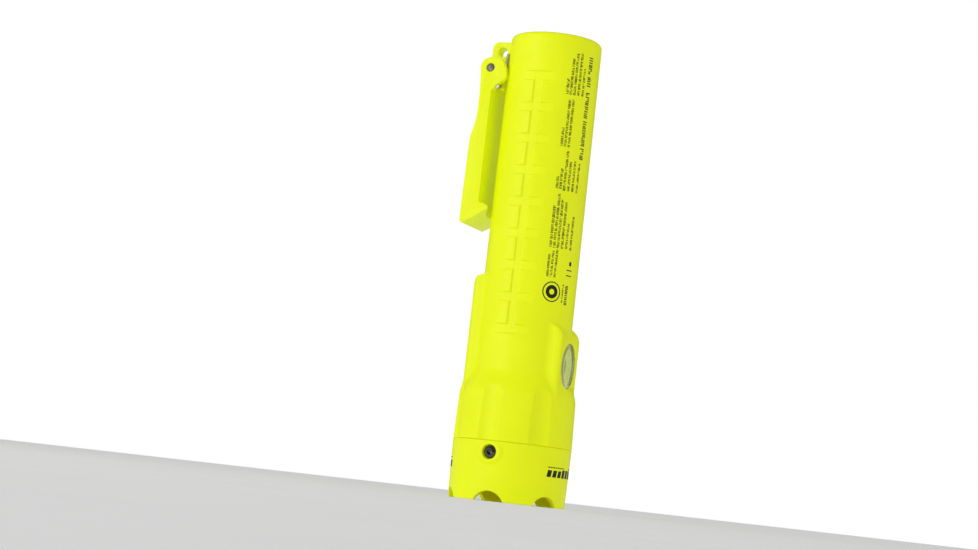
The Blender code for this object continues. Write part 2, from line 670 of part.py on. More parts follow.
def make_contact_pins():
    """Sprung pins that carry the battery current to the driver board."""
    pin = [(0, 65.3), (0.9, 65.1), (1.2, 64.6), (1.2, 62.6), (1.8, 62.6), (1.8, 62.2), (0, 62.2)]
    for name, x in (("positive_contact_pin", CELL_X), ("negative_contact_pin", -CELL_X)):
        turned(name, pin, "nickel", (x, 0, 0), steps=20)


# ------------------------------------------------------------------------- batteries
def make_cells():
    """Two stacks of two cells, one with its tips up and one with its tips down."""
    tip_up = REAR_FACE - GAP - STRIP - GAP
    tip_down = FRONT_FACE + GAP + STRIP + GAP
    body = CELL_LENGTH - CELL_BUTTON_HEIGHT
    flat_r = CELL_R - CELL_EDGE
    profile = [(0, CELL_LENGTH), (CELL_BUTTON_R, CELL_LENGTH), (CELL_BUTTON_R, body),
               (flat_r, body), (CELL_R, body - CELL_EDGE), (CELL_R, CELL_EDGE), (flat_r, 0),
               (0, 0)]
    pitch = CELL_LENGTH + GAP
    for i in range(2):
        z = tip_up - CELL_LENGTH - pitch * i
        turned("battery_cell_%d" % (i + 1), profile, "cell_wrap", (-CELL_X, 0, z), steps=24)
        z = tip_down + CELL_LENGTH + pitch * i
        turned("battery_cell_%d" % (i + 3), profile, "cell_wrap", (CELL_X, 0, z),
               (math.pi, 0, 0), 24)


def make_carrier():
    rear = cylinder("battery_carrier", CARRIER_R, PLATE, "black_plastic", (0, 0, REAR_FACE),
                    sides=40)
    front = cylinder("carrier_front", CARRIER_R, PLATE, None, (0, 0, FRONT_FACE - PLATE), sides=40)
    spine = block("carrier_spine", (-4.5, -13.2, FRONT_FACE - 1.0), (4.5, -9.6, REAR_FACE + 1.0),
                  None)
    rib = block("carrier_rib", (-1.4, 6.2, FRONT_FACE - 1.0), (1.4, 8.3, REAR_FACE + 1.0), None)
    join(rear, front, spine, rib)
    cut(rear, block("carrier_flat", (-20.0, 8.5, 60.0), (20.0, 20.0, 90.0), None))
    for x in (-CELL_X, CELL_X):
        name = "carrier_pin_hole_%s" % ("n" if x < 0 else "p")
        cut(rear, cylinder(name, 2.0, 8.0, None, (x, 0, 62.0), sides=16))


def coil(z_low, z_high, r_low, r_high, turns, per_turn=10):
    """Points along a conical spring."""
    points = []
    steps = turns * per_turn
    for i in range(steps + 1):
        share = i / steps
        angle = TURN * turns * share
        radius = r_low + (r_high - r_low) * share
        points.append((radius * math.cos(angle), radius * math.sin(angle),
                       z_low + (z_high - z_low) * share))
    return points


def make_battery_contacts():
    back = REAR_FACE - GAP
    front = FRONT_FACE + GAP
    block("rear_contact_strip", (-12.0, -STRIP_HALF_WIDTH, back - STRIP),
          (12.0, STRIP_HALF_WIDTH, back), "nickel")
    for name, x in (("front_positive_contact", CELL_X), ("front_negative_contact", -CELL_X)):
        block(name, (x - 4.0, -STRIP_HALF_WIDTH, front), (x + 4.0, STRIP_HALF_WIDTH, front + STRIP),
              "nickel")
    wide = 5.0
    narrow = 2.2
    gauge = CELL_SPRING_GAUGE
    rise = CELL_SPRING_LENGTH - gauge
    low = front + STRIP + GAP + gauge / 2
    wire("front_cell_spring", [coil(low, low + rise, wide, narrow, 2)], gauge, "steel",
         (-CELL_X, 0, 0))
    high = back - STRIP - GAP - gauge / 2
    wire("rear_cell_spring", [coil(high, high - rise, wide, narrow, 2)], gauge, "steel",
         (CELL_X, 0, 0))


# ------------------------------------------------------------------------------ tail
def make_tail_magnet():
    low = TAIL_POCKET_Z + GAP
    cylinder("tail_magnet", TAIL_MAGNET_R, MAGNET_THICKNESS, "nickel", (0, 0, low), sides=40)
    cover_low = low + MAGNET_THICKNESS + GAP
    cylinder("tail_cover", TAIL_MAGNET_R, LENGTH - cover_low, "hi_vis_plastic",
             (0, 0, cover_low), sides=48)


# ------------------------------------------------------------------------------ clip
def clip_outline():
    """Side view of the clip as (y, z), from the ears down the outer face to the foot."""
    ear = arc(HINGE_Y, HINGE_Z, 4.1, 100, -5, 7)
    outer = [(25.6, 160.0), (CLIP_THIN_OUTER, 150.0), (26.0, 147.0), (27.2, 142.3)]
    outer += [(27.6, 139.8), (CLIP_OUTER, 110.0), (CLIP_OUTER, 107.4), (26.9, CLIP_FOOT_Z)]
    foot = [(18.0, 112.4), (17.2, 113.2), (17.2, 114.8), (20.6, 115.4), (CLIP_INNER, 115.9)]
    heel = [(CLIP_INNER, 160.4), (20.4, 161.6), (18.4, 162.6), (16.6, 164.0), (15.6, 166.0)]
    heel += [(16.1, 169.0), (17.6, 171.8), (19.6, 172.9)]
    return ear + outer + foot + heel


def make_clip():
    clip = outline_prism("clip_lever", clip_outline(), -CLIP_HALF_WIDTH, CLIP_HALF_WIDTH,
                         "hi_vis_plastic")
    round_edges(clip, 0.9)
    ear = CLIP_HALF_WIDTH - EAR_THICKNESS
    magnet = (0, CLIP_OUTER + 5.0, CLIP_MAGNET_Z)
    depth = 5.0 + MAGNET_THICKNESS + 2.4
    pin = (-20.0, HINGE_Y, HINGE_Z)
    cut(clip,
        block("ear_gap", (-ear, 10.0, 162.4), (ear, 32.0, 180.0), None),
        block("heel_gap", (-ear, 10.0, 155.0), (ear, CLIP_INNER - 0.2, 166.0), None),
        cylinder("foot_hollow", 20.3, 12.0, None, (0, 0, 105.0), sides=64),
        cylinder("clip_magnet_pocket", CLIP_MAGNET_R + GAP, depth, None, magnet, ALONG_MINUS_Y),
        cylinder("clip_pin_bore", PIN_R + GAP, 40.0, None, pin, ALONG_X, 24))


def make_clip_hardware():
    half = CLIP_HALF_WIDTH - 0.5
    pin = [(0, 2 * half), (PIN_R - 0.3, 2 * half), (PIN_R, 2 * half - 0.3), (PIN_R, 0.3),
           (PIN_R - 0.3, 0), (0, 0)]
    turned("clip_hinge_pin", pin, "steel", (-half, HINGE_Y, HINGE_Z), ALONG_X, 24)
    floor = CLIP_OUTER - MAGNET_THICKNESS - 2.4
    middle = (0, floor + GAP, CLIP_MAGNET_Z)
    cylinder("clip_magnet", CLIP_MAGNET_R, MAGNET_THICKNESS, "nickel", middle, ALONG_PLUS_Y, 40)
    cover = floor + GAP + MAGNET_THICKNESS + GAP
    cylinder("clip_magnet_cover", CLIP_MAGNET_R, CLIP_OUTER - cover, "hi_vis_plastic",
             (0, cover, CLIP_MAGNET_Z), ALONG_PLUS_Y, 40)


def make_torsion_springs():
    """Wire springs round the pin: one leg on the tube, the other under the ear's heel."""
    gauge = CLIP_SPRING_GAUGE
    radius = 3.3
    turns = 3
    per_turn = 10
    inner_x = TONGUE_HALF_WIDTH + GAP + gauge / 2 + 0.15
    outer_x = CLIP_HALF_WIDTH - EAR_THICKNESS - GAP - gauge / 2 - 0.1
    for name, side in (("clip_spring_left", -1), ("clip_spring_right", 1)):
        points = [(side * inner_x, -4.0, 7.4), (side * inner_x, -radius - 0.1, 1.6)]
        for i in range(turns * per_turn + 1):
            angle = math.pi + TURN * i / per_turn
            x = inner_x + (outer_x - inner_x) * i / (turns * per_turn)
            points.append((side * x, radius * math.cos(angle), radius * math.sin(angle)))
        low = -7.4
        points += [(side * outer_x, -3.4, low + 1.4), (side * (outer_x + 0.3), -3.6, low + 0.4),
                   (side * (outer_x + 1.2), -3.6, low), (side * (CLIP_HALF_WIDTH - 0.4), -3.6, low)]
        wire(name, [points], gauge, "steel", (0, HINGE_Y, HINGE_Z))


make_housing()
make_bezel()
make_locking_screw()
make_lens_stack()
make_spot_reflector()
make_spot_led()
make_heat_sink()
make_flood_light()
make_switches()
make_head_chassis()
make_driver_board()
make_led_wires()
make_contact_pins()
make_cells()
make_carrier()
make_battery_contacts()
make_tail_magnet()
make_clip()
make_clip_hardware()
make_torsion_springs()
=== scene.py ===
"""Looks of the firefighter flashlight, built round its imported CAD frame.

The lamp stands head down on its bezel rim, tail up, with the flood light towards -Y and
the clip and the switches towards +Y. Lengths are in millimetres and measured from the
body axis unless a name says otherwise; MM turns them into metres when a mesh is made.
"""

import json
import math
import random

import bmesh
import bpy
import numpy as np
from mathutils import Matrix, Vector


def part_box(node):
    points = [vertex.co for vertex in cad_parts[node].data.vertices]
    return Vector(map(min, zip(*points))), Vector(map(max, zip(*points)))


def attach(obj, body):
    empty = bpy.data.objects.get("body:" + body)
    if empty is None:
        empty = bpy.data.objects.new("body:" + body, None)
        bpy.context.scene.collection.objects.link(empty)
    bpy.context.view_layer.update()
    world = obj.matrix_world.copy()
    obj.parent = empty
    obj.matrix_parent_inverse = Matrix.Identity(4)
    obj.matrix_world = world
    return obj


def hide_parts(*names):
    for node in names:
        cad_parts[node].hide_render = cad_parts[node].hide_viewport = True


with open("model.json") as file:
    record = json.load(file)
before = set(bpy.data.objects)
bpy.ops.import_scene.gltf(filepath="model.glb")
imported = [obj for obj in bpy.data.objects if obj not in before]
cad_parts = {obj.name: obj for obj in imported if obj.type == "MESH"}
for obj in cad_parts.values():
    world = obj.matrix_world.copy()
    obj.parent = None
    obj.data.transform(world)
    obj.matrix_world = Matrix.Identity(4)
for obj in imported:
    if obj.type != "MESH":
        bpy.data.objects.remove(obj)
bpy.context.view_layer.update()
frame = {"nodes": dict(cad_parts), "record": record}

MM = 0.001
GAP = 0.3


def box_mm(node):
    """A CAD node's lowest and highest corner in millimetres."""
    low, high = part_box(node)
    return Vector(low) / MM, Vector(high) / MM


# ------------------------------------------------------------ sizes read from the frame
BEZEL_LOW, BEZEL_HIGH = box_mm("bezel_ring")
HOUSING_LOW, HOUSING_HIGH = box_mm("main_housing")
AXIS_Y = (BEZEL_LOW.y + BEZEL_HIGH.y) / 2
LENGTH = HOUSING_HIGH.z
COLLAR_R = HOUSING_HIGH.x
BEZEL_TOP = BEZEL_HIGH.z
SEAM_Z = BEZEL_TOP + GAP
BEZEL_EDGE = BEZEL_TOP + 0.18  # the ring nearly meets the housing

LENS_LOW, LENS_HIGH = box_mm("flood_lens")
FLOOD_Z = (LENS_LOW.z + LENS_HIGH.z) / 2
FLOOD_LENS_R = LENS_HIGH.x
FLOOD_LENS_FACE = AXIS_Y - LENS_LOW.y
FLOOD_LENS_BACK = AXIS_Y - LENS_HIGH.y
FLOOD_FACE = FLOOD_LENS_FACE + GAP

FRAME_LOW, FRAME_HIGH = box_mm("switch_frame")
SWITCH_FACE = FRAME_HIGH.y - AXIS_Y
SWITCH_POCKET_FLOOR = FRAME_LOW.y - AXIS_Y - GAP
SWITCH_MID_Z = (FRAME_LOW.z + FRAME_HIGH.z) / 2
SWITCH_HALF_WIDTH = FRAME_HIGH.x
SWITCH_HALF_LENGTH = (FRAME_HIGH.z - FRAME_LOW.z) / 2

PIN_LOW, PIN_HIGH = box_mm("clip_hinge_pin")
HINGE_Y = (PIN_LOW.y + PIN_HIGH.y) / 2 - AXIS_Y
HINGE_Z = (PIN_LOW.z + PIN_HIGH.z) / 2
PIN_R = (PIN_HIGH.z - PIN_LOW.z) / 2
PIN_HALF = PIN_HIGH.x

CLIP_LOW, CLIP_HIGH = box_mm("clip_lever")
CLIP_HALF_WIDTH = CLIP_HIGH.x
CLIP_OUTER = CLIP_HIGH.y - AXIS_Y
CLIP_FOOT_Z = CLIP_LOW.z

MAGNET_LOW, MAGNET_HIGH = box_mm("clip_magnet_cover")
CLIP_MAGNET_Z = (MAGNET_LOW.z + MAGNET_HIGH.z) / 2
CLIP_MAGNET_R = MAGNET_HIGH.x
CLIP_COVER_BACK = MAGNET_LOW.y - AXIS_Y

TAIL_LOW, TAIL_HIGH = box_mm("tail_cover")
TAIL_COVER_R = TAIL_HIGH.x

SCREW_LOW, SCREW_HIGH = box_mm("locking_screw")
LOCK_SCREW_Z = (SCREW_LOW.z + SCREW_HIGH.z) / 2
LOCK_HEAD_R = (SCREW_HIGH.z - SCREW_LOW.z) / 2
LOCK_ANGLE = -92.7           # degrees from the flood light
LOCK_TURN = math.radians(-90 - LOCK_ANGLE)
LOCK_SHANK_R = 1.4
LOCK_HEAD_TOP = -SCREW_LOW.x / math.cos(LOCK_TURN)
LOCK_TIP = (LOCK_SHANK_R * math.sin(LOCK_TURN) - SCREW_HIGH.x) / math.cos(LOCK_TURN)

BUTTON_Z = {}
for button in ("spot_button", "flood_button"):
    low, high = box_mm(button)
    BUTTON_Z[button] = (low.z + high.z) / 2
    BUTTON_FLANGE_R = high.x
    BUTTON_TOP = high.y - AXIS_Y
    BUTTON_END = low.y - AXIS_Y

# --------------------------------------------------------------- the moulding's own sizes
TUBE_R_NECK = 18.3
TUBE_R_TAIL = 17.9
SHOULDER_Z = 50.2
CONE_FOOT_Z = 50.0           # the shoulder's cone leaves the tube here
CONE_SLOPE = 0.57
COLLAR_WIDEST_Z = 24.0
COLLAR_DRAFT = 0.026
TAIL_ROUNDING = 2.0
BORE_R = 15.6
HEAD_BORE_R = 18.0
NECK_R = 20.3
NECK_END_Z = 10.7

FLUTES = (46, 97, 149)       # degrees from the flood light, on both sides
FLUTE_FLOOR = 21.45
FLUTE_CHORD = 4.3

GRIP_BARS = 9
GRIP_PITCH = 12.4
GRIP_BAR_HEIGHT = 3.6
GRIP_TOP_Z = 165.3
GRIP_HALF_ANGLE = math.radians(23)
GROOVE_HALF_ANGLE = math.radians(5.0)
BAR_DEPTH = 0.68
GROOVE_DEPTH = 0.72

BOSS_HALF_WIDTH = 11.8
BOSS_TOP = 70.3
BOSS_ARC = 6.0
SWITCH_BOSS_HALF_WIDTH = 11.0
SWITCH_BOSS_TOP = 87.0
SWITCH_BOSS_ARC = 3.4

TONGUE_HALF_WIDTH = 3.0
TONGUE_EDGE = 25.6
TONGUE_TOP = 181.2
LANYARD = (21.1, 177.1, 1.85)

SCALLOP_R = 6.5
SCALLOP_CENTRE_Z = -2.7
SCALLOPS = tuple(range(30, 360, 60))
BEZEL_R_TOP = 23.12
BEZEL_R_RIM = 22.67
RIM_INNER_R = 20.4
LIP_R = 17.4
LIP_FRONT_Z = 5.2
LIP_BACK_Z = 6.6
LOCK_PAD_R = 4.1
LOCK_PAD_FACE = 23.15

FLOOD_CUP_PAINTED_LIGHT_Y = AXIS_Y - 15.3    # the flood cup is painted lit and glowing in front of here
FLOOD_CUP_PAINTED_SHADE_Y = AXIS_Y - 14.8      # and painted dark as shade from here towards its floor


# ----------------------------------------------------------------------------- materials
class Finish:
    """A Principled material with short calls for the texture nodes that vary it."""

    def __init__(self, name, colour, roughness, metallic=0.0, **sockets):
        self.material = bpy.data.materials.new(name)
        self.material.use_nodes = True
        self.nodes = self.material.node_tree.nodes
        self.links = self.material.node_tree.links
        self.shader = self.nodes["Principled BSDF"]
        self.shader.inputs["Base Color"].default_value = (*colour, 1.0)
        self.shader.inputs["Roughness"].default_value = roughness
        self.shader.inputs["Metallic"].default_value = metallic
        for socket, value in sockets.items():
            self.shader.inputs[socket.replace("_", " ")].default_value = value
        self.place = self.nodes.new("ShaderNodeTexCoord").outputs["Object"]

    def stretched(self, x, y, z):
        """Object coordinates scaled along the axes, for grain that runs one way."""
        mapping = self.nodes.new("ShaderNodeMapping")
        mapping.inputs["Scale"].default_value = (x, y, z)
        self.links.new(self.place, mapping.inputs["Vector"])
        return mapping.outputs["Vector"]

    def noise(self, scale, detail=3.0, vector=None, distortion=0.0):
        texture = self.nodes.new("ShaderNodeTexNoise")
        texture.inputs["Scale"].default_value = scale
        texture.inputs["Detail"].default_value = detail
        texture.inputs["Distortion"].default_value = distortion
        self.links.new(vector or self.place, texture.inputs["Vector"])
        return texture.outputs["Fac"]

    def cells(self, scale, vector=None, feature="F1"):
        texture = self.nodes.new("ShaderNodeTexVoronoi")
        texture.feature = feature
        texture.inputs["Scale"].default_value = scale
        self.links.new(vector or self.place, texture.inputs["Vector"])
        return texture.outputs["Distance"]

    def wave(self, scale, vector=None, rings=False, distortion=0.0):
        texture = self.nodes.new("ShaderNodeTexWave")
        texture.wave_type = "RINGS" if rings else "BANDS"
        if rings:
            texture.rings_direction = "Z"
        texture.inputs["Scale"].default_value = scale
        texture.inputs["Distortion"].default_value = distortion
        self.links.new(vector or self.place, texture.inputs["Vector"])
        return texture.outputs["Fac"]

    def pointiness(self):
        return self.nodes.new("ShaderNodeNewGeometry").outputs["Pointiness"]

    def remap(self, value, low, high, out_low, out_high):
        node = self.nodes.new("ShaderNodeMapRange")
        for name, number in (("From Min", low), ("From Max", high), ("To Min", out_low),
                             ("To Max", out_high)):
            node.inputs[name].default_value = number
        self.links.new(value, node.inputs["Value"])
        return node.outputs["Result"]

    def math(self, operation, a, b):
        node = self.nodes.new("ShaderNodeMath")
        node.operation = operation
        for socket, value in zip(node.inputs, (a, b)):
            if isinstance(value, (int, float)):
                socket.default_value = value
            else:
                self.links.new(value, socket)
        return node.outputs["Value"]

    def ramp(self, value, *stops):
        """A colour ramp through (position, colour) stops."""
        node = self.nodes.new("ShaderNodeValToRGB")
        elements = node.color_ramp.elements
        while len(elements) < len(stops):
            elements.new(0.5)
        for element, (position, colour) in zip(elements, stops):
            element.position = position
            element.color = (*colour, 1.0)
        self.links.new(value, node.inputs["Fac"])
        return node.outputs["Color"]

    def mix(self, amount, a, b):
        node = self.nodes.new("ShaderNodeMix")
        node.data_type = "RGBA"
        self.links.new(amount, node.inputs["Factor"])
        for socket, value in ((node.inputs["A"], a), (node.inputs["B"], b)):
            if isinstance(value, tuple):
                socket.default_value = (*value, 1.0)
            else:
                self.links.new(value, socket)
        return next(s for s in node.outputs if s.type == "RGBA")

    def drive(self, socket, value):
        self.links.new(value, self.shader.inputs[socket])

    def bump(self, height, distance, strength=1.0):
        """Chain a bump of this depth in millimetres on to the shader's normal."""
        node = self.nodes.new("ShaderNodeBump")
        node.inputs["Strength"].default_value = strength
        node.inputs["Distance"].default_value = distance * MM
        self.links.new(height, node.inputs["Height"])
        normal = self.shader.inputs["Normal"]
        if normal.is_linked:
            self.links.new(normal.links[0].from_socket, node.inputs["Normal"])
        self.links.new(node.outputs["Normal"], normal)


YELLOW = (0.78, 0.90, 0.003)
YELLOW_DEEP = (0.74, 0.87, 0.002)
YELLOW_RUBBED = (0.83, 0.93, 0.02)


def hi_vis_plastic():
    """Fluorescent moulded plastic: faint spark-eroded grain, flow marks, rubbed edges, and a painted glow
    from a constant emission that lifts and warms the shade.
    """
    # The constant yellow emission is a painted glow: the plastic shines by itself, most visibly in its
    # shaded parts.
    f = Finish("hi_vis_plastic", YELLOW, 0.4, Specular_IOR_Level=0.2,
               Emission_Color=(1.0, 0.84, 0.0, 1.0), Emission_Strength=0.1)
    flow = f.ramp(f.noise(70, 4), (0.3, YELLOW_DEEP), (0.65, YELLOW))
    rubbed = f.remap(f.pointiness(), 0.52, 0.58, 0.0, 0.55)
    worn = f.math("MULTIPLY", rubbed, f.remap(f.noise(900, 5), 0.4, 0.62, 0.0, 1.0))
    f.drive("Base Color", f.mix(worn, flow, YELLOW_RUBBED))
    scuffs = f.remap(f.noise(260, 6, f.stretched(1.0, 1.0, 0.12), 0.6), 0.6, 0.72, 0.0, 0.12)
    patches = f.remap(f.noise(110, 4), 0.3, 0.7, 0.3, 0.42)
    f.drive("Roughness", f.math("ADD", patches, scuffs))
    f.bump(f.noise(3800, 2), 0.012, 0.35)
    f.bump(f.noise(150, 3), 0.03, 0.2)
    return f.material


def ink():
    """Pad-printed black ink, thin in places."""
    f = Finish("ink", (0.015, 0.016, 0.012), 0.5)
    thin = f.remap(f.noise(5200, 3), 0.62, 0.8, 0.0, 0.6)
    f.drive("Base Color", f.mix(thin, (0.015, 0.016, 0.012), (0.25, 0.31, 0.01)))
    f.drive("Roughness", f.remap(f.noise(1500, 3), 0.3, 0.7, 0.4, 0.62))
    return f.material


def black_rubber():
    f = Finish("black_rubber", (0.022, 0.022, 0.024), 0.7, Specular_IOR_Level=0.4)
    dust = f.remap(f.noise(420, 5), 0.45, 0.8, 0.0, 0.35)
    f.drive("Base Color", f.mix(dust, (0.018, 0.018, 0.02), (0.075, 0.074, 0.07)))
    f.drive("Roughness", f.remap(f.noise(800, 4), 0.3, 0.7, 0.58, 0.8))
    f.bump(f.noise(4200, 3), 0.02, 0.5)
    return f.material


def black_plastic():
    f = Finish("black_plastic", (0.028, 0.029, 0.032), 0.45)
    f.drive("Base Color", f.ramp(f.noise(300, 4), (0.3, (0.022, 0.023, 0.026)),
                                 (0.75, (0.042, 0.043, 0.046))))
    f.drive("Roughness", f.remap(f.noise(600, 3), 0.3, 0.7, 0.38, 0.55))
    f.bump(f.cells(2600), 0.02, 0.35)
    return f.material


def black_steel():
    """Black oxide on a socket screw, worn bright at the edges."""
    f = Finish("black_steel", (0.012, 0.012, 0.014), 0.15, 0.2, Specular_IOR_Level=0.9,
               Coat_Weight=1.0, Coat_Roughness=0.08)
    worn = f.math("MULTIPLY", f.remap(f.pointiness(), 0.53, 0.62, 0.0, 0.5),
                  f.remap(f.noise(1800, 4), 0.4, 0.65, 0.0, 1.0))
    f.drive("Base Color", f.mix(worn, (0.012, 0.012, 0.014), (0.16, 0.155, 0.15)))
    f.drive("Roughness", f.remap(f.noise(1400, 4), 0.3, 0.7, 0.1, 0.24))
    f.bump(f.noise(2500, 2), 0.01, 0.3)
    return f.material


def steel():
    """Drawn spring wire and the ground pin."""
    f = Finish("steel", (0.58, 0.58, 0.6), 0.26, 1.0)
    f.drive("Base Color", f.ramp(f.noise(700, 4), (0.25, (0.44, 0.44, 0.47)),
                                 (0.7, (0.66, 0.65, 0.64))))
    draw_lines = f.noise(900, 3, f.stretched(1.0, 1.0, 0.08))
    f.drive("Roughness", f.remap(draw_lines, 0.3, 0.7, 0.2, 0.42))
    f.bump(draw_lines, 0.006, 0.4)
    return f.material


def pin_steel():
    """Ground end of the hinge pin, dulled by handling."""
    f = Finish("pin_steel", (0.27, 0.27, 0.28), 0.45, 0.85)
    dull = f.remap(f.noise(900, 5), 0.4, 0.7, 0.0, 0.5)
    f.drive("Base Color", f.mix(dull, (0.28, 0.275, 0.29), (0.15, 0.15, 0.15)))
    f.drive("Roughness", f.remap(f.noise(1600, 3), 0.3, 0.7, 0.36, 0.55))
    f.bump(f.wave(700, f.stretched(0.0, 1.0, 1.0), rings=False), 0.004, 0.3)
    return f.material


def nickel():
    f = Finish("nickel", (0.7, 0.68, 0.63), 0.2, 1.0)
    f.drive("Base Color", f.ramp(f.noise(250, 5), (0.3, (0.6, 0.57, 0.5)),
                                 (0.7, (0.74, 0.72, 0.68))))
    f.drive("Roughness", f.remap(f.noise(900, 5), 0.3, 0.7, 0.14, 0.34))
    f.bump(f.noise(1200, 3), 0.008, 0.25)
    return f.material


def aluminium():
    """Turned heat sink, with the tool's rings on its faces."""
    f = Finish("aluminium", (0.76, 0.77, 0.79), 0.3, 1.0)
    rings = f.wave(900, rings=True)
    f.drive("Base Color", f.ramp(f.noise(200, 3), (0.3, (0.66, 0.67, 0.69)),
                                 (0.7, (0.8, 0.81, 0.82))))
    f.drive("Roughness", f.remap(rings, 0.0, 1.0, 0.24, 0.4))
    f.bump(rings, 0.01, 0.3)
    return f.material


def mirror():
    """Vacuum-metallised reflector with a slight orange peel."""
    f = Finish("mirror", (0.88, 0.88, 0.9), 0.05, 1.0)
    f.drive("Base Color", f.ramp(f.noise(160, 3), (0.3, (0.82, 0.82, 0.84)),
                                 (0.7, (0.92, 0.92, 0.93))))
    f.drive("Roughness", f.remap(f.noise(700, 3), 0.3, 0.7, 0.03, 0.1))
    f.bump(f.noise(900, 2), 0.008, 0.3)
    return f.material


def satin_reflector():
    """Moulded flood cup: bright satin coating with fine ribs of the tool, painted dark as shade towards its
    floor and given a painted glow at its front.
    """
    f = Finish("satin_reflector", (0.86, 0.9, 0.6), 0.3, 0.1)
    axes = f.nodes.new("ShaderNodeSeparateXYZ")
    f.links.new(f.place, axes.inputs["Vector"])
    # Painted shade: this share runs from 0 at the cup's front to 1 towards its floor and darkens the cup.
    depth = f.remap(axes.outputs["Y"], FLOOD_CUP_PAINTED_LIGHT_Y * MM, FLOOD_CUP_PAINTED_SHADE_Y * MM, 0.0, 1.0)
    coat = f.ramp(f.noise(300, 3), (0.3, (0.84, 0.93, 0.2)), (0.7, (0.92, 0.99, 0.28)))
    f.drive("Base Color", f.mix(depth, coat, (0.17, 0.17, 0.21)))
    # Painted glow at the cup's front, fading out where the painted shade begins.
    f.shader.inputs["Emission Color"].default_value = (0.85, 1.0, 0.15, 1.0)
    f.drive("Emission Strength", f.remap(depth, 0.0, 1.0, 0.12, 0.0))
    f.drive("Roughness", f.remap(f.noise(900, 4), 0.3, 0.7, 0.22, 0.42))
    f.bump(f.cells(2200), 0.01, 0.4)
    return f.material


def clear_plastic():
    """Polycarbonate lens with fine wipe marks."""
    f = Finish("clear_plastic", (0.97, 0.98, 0.96), 0.03, IOR=1.58, Transmission_Weight=1.0)
    marks = f.noise(1600, 5, f.stretched(1.0, 0.15, 0.3), 0.4)
    f.drive("Base Color", f.ramp(f.noise(120, 2), (0.3, (0.95, 0.97, 0.93)),
                                 (0.7, (0.985, 0.99, 0.975))))
    f.drive("Roughness", f.remap(marks, 0.5, 0.75, 0.015, 0.11))
    f.bump(marks, 0.002, 0.2)
    return f.material


def flood_window():
    """The flood light's lens: the same plastic, tinted to paint in the yellow light of the moulding round
    it, with a faint painted glow.
    """
    # The yellow-green tint is painted light from the moulding, and the constant emission is a painted glow.
    f = Finish("flood_window", (0.9, 0.95, 0.62), 0.04, IOR=1.5, Transmission_Weight=1.0,
               Emission_Color=(0.9, 1.0, 0.35, 1.0), Emission_Strength=0.05)
    rings = f.wave(160, f.stretched(1.0, 0.0, 1.0), rings=False)
    f.drive("Base Color", f.ramp(f.noise(150, 2), (0.3, (0.87, 0.93, 0.55)),
                                 (0.7, (0.93, 0.97, 0.68))))
    f.drive("Roughness", f.remap(f.noise(1500, 5), 0.45, 0.75, 0.02, 0.07))
    f.bump(rings, 0.002, 0.1)
    return f.material


def led():
    """Yellow phosphor over the die in a white package."""
    f = Finish("led", (0.9, 0.72, 0.2), 0.32)
    f.drive("Base Color", f.ramp(f.noise(2200, 4), (0.35, (0.86, 0.62, 0.1)),
                                 (0.7, (0.95, 0.85, 0.42))))
    f.drive("Roughness", f.remap(f.noise(1800, 2), 0.3, 0.7, 0.2, 0.42))
    f.bump(f.cells(3600), 0.01, 0.4)
    return f.material


def circuit_board():
    """Green solder mask over copper traces."""
    f = Finish("circuit_board", (0.02, 0.2, 0.07), 0.35)
    tracks = f.cells(420, f.stretched(1.0, 1.0, 0.45), "DISTANCE_TO_EDGE")
    trace = f.remap(tracks, 0.04, 0.09, 1.0, 0.0)
    green = f.ramp(f.noise(300, 3), (0.3, (0.014, 0.15, 0.05)), (0.7, (0.03, 0.23, 0.085)))
    f.drive("Base Color", f.mix(trace, green, (0.07, 0.36, 0.12)))
    f.drive("Roughness", f.remap(f.noise(900, 3), 0.3, 0.7, 0.26, 0.45))
    f.bump(trace, 0.03, 0.5)
    return f.material


def cell_wrap():
    """Shrink sleeve of an AA cell: dark with one pale band round its upper third."""
    f = Finish("cell_wrap", (0.03, 0.05, 0.09), 0.3)
    bands = f.wave(2.4, f.stretched(0.0, 0.0, 2.6))
    sleeve = f.ramp(bands, (0.0, (0.02, 0.035, 0.07)), (0.7, (0.035, 0.06, 0.12)),
                    (0.74, (0.55, 0.5, 0.42)))
    f.drive("Base Color", sleeve)
    f.drive("Roughness", f.remap(f.noise(700, 4), 0.3, 0.7, 0.22, 0.42))
    f.bump(f.noise(500, 4), 0.03, 0.3)
    return f.material


def wire():
    """Red silicone insulation."""
    f = Finish("wire", (0.55, 0.03, 0.025), 0.4)
    f.drive("Base Color", f.ramp(f.noise(900, 3), (0.3, (0.45, 0.02, 0.02)),
                                 (0.7, (0.66, 0.05, 0.04))))
    f.drive("Roughness", f.remap(f.noise(1500, 3), 0.3, 0.7, 0.32, 0.5))
    f.bump(f.noise(2500, 2), 0.01, 0.3)
    return f.material


def black_wire():
    f = Finish("black_wire", (0.02, 0.02, 0.02), 0.42)
    f.drive("Base Color", f.ramp(f.noise(900, 3), (0.3, (0.015, 0.015, 0.015)),
                                 (0.7, (0.04, 0.04, 0.04))))
    f.drive("Roughness", f.remap(f.noise(1500, 3), 0.3, 0.7, 0.34, 0.52))
    f.bump(f.noise(2500, 2), 0.01, 0.3)
    return f.material


FINISHES = {make.__name__: make() for make in (
    hi_vis_plastic, ink, black_rubber, black_plastic, black_steel, steel, pin_steel, nickel, aluminium,
    mirror, satin_reflector, clear_plastic, flood_window, led, circuit_board, cell_wrap, wire, black_wire)}


def dress_frame():
    """Give every CAD node the detailed finish of its material slot."""
    for part in frame["record"]["subparts"]:
        obj = frame["nodes"][part["node"]]
        finish = part["material_slot"]
        if part["node"].endswith("wire_black"):
            finish = "black_wire"
        obj.data.materials.clear()
        obj.data.materials.append(FINISHES[finish])


def add_piece(name, mesh, body, finish, nodes=()):
    """Link a piece, finish it, ride it on its body and let it stand for CAD nodes."""
    obj = bpy.data.objects.new(name, mesh)
    bpy.context.scene.collection.objects.link(obj)
    mesh.materials.clear()
    mesh.materials.append(FINISHES[finish])
    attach(obj, body)
    if nodes:
        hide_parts(*nodes)
    return obj


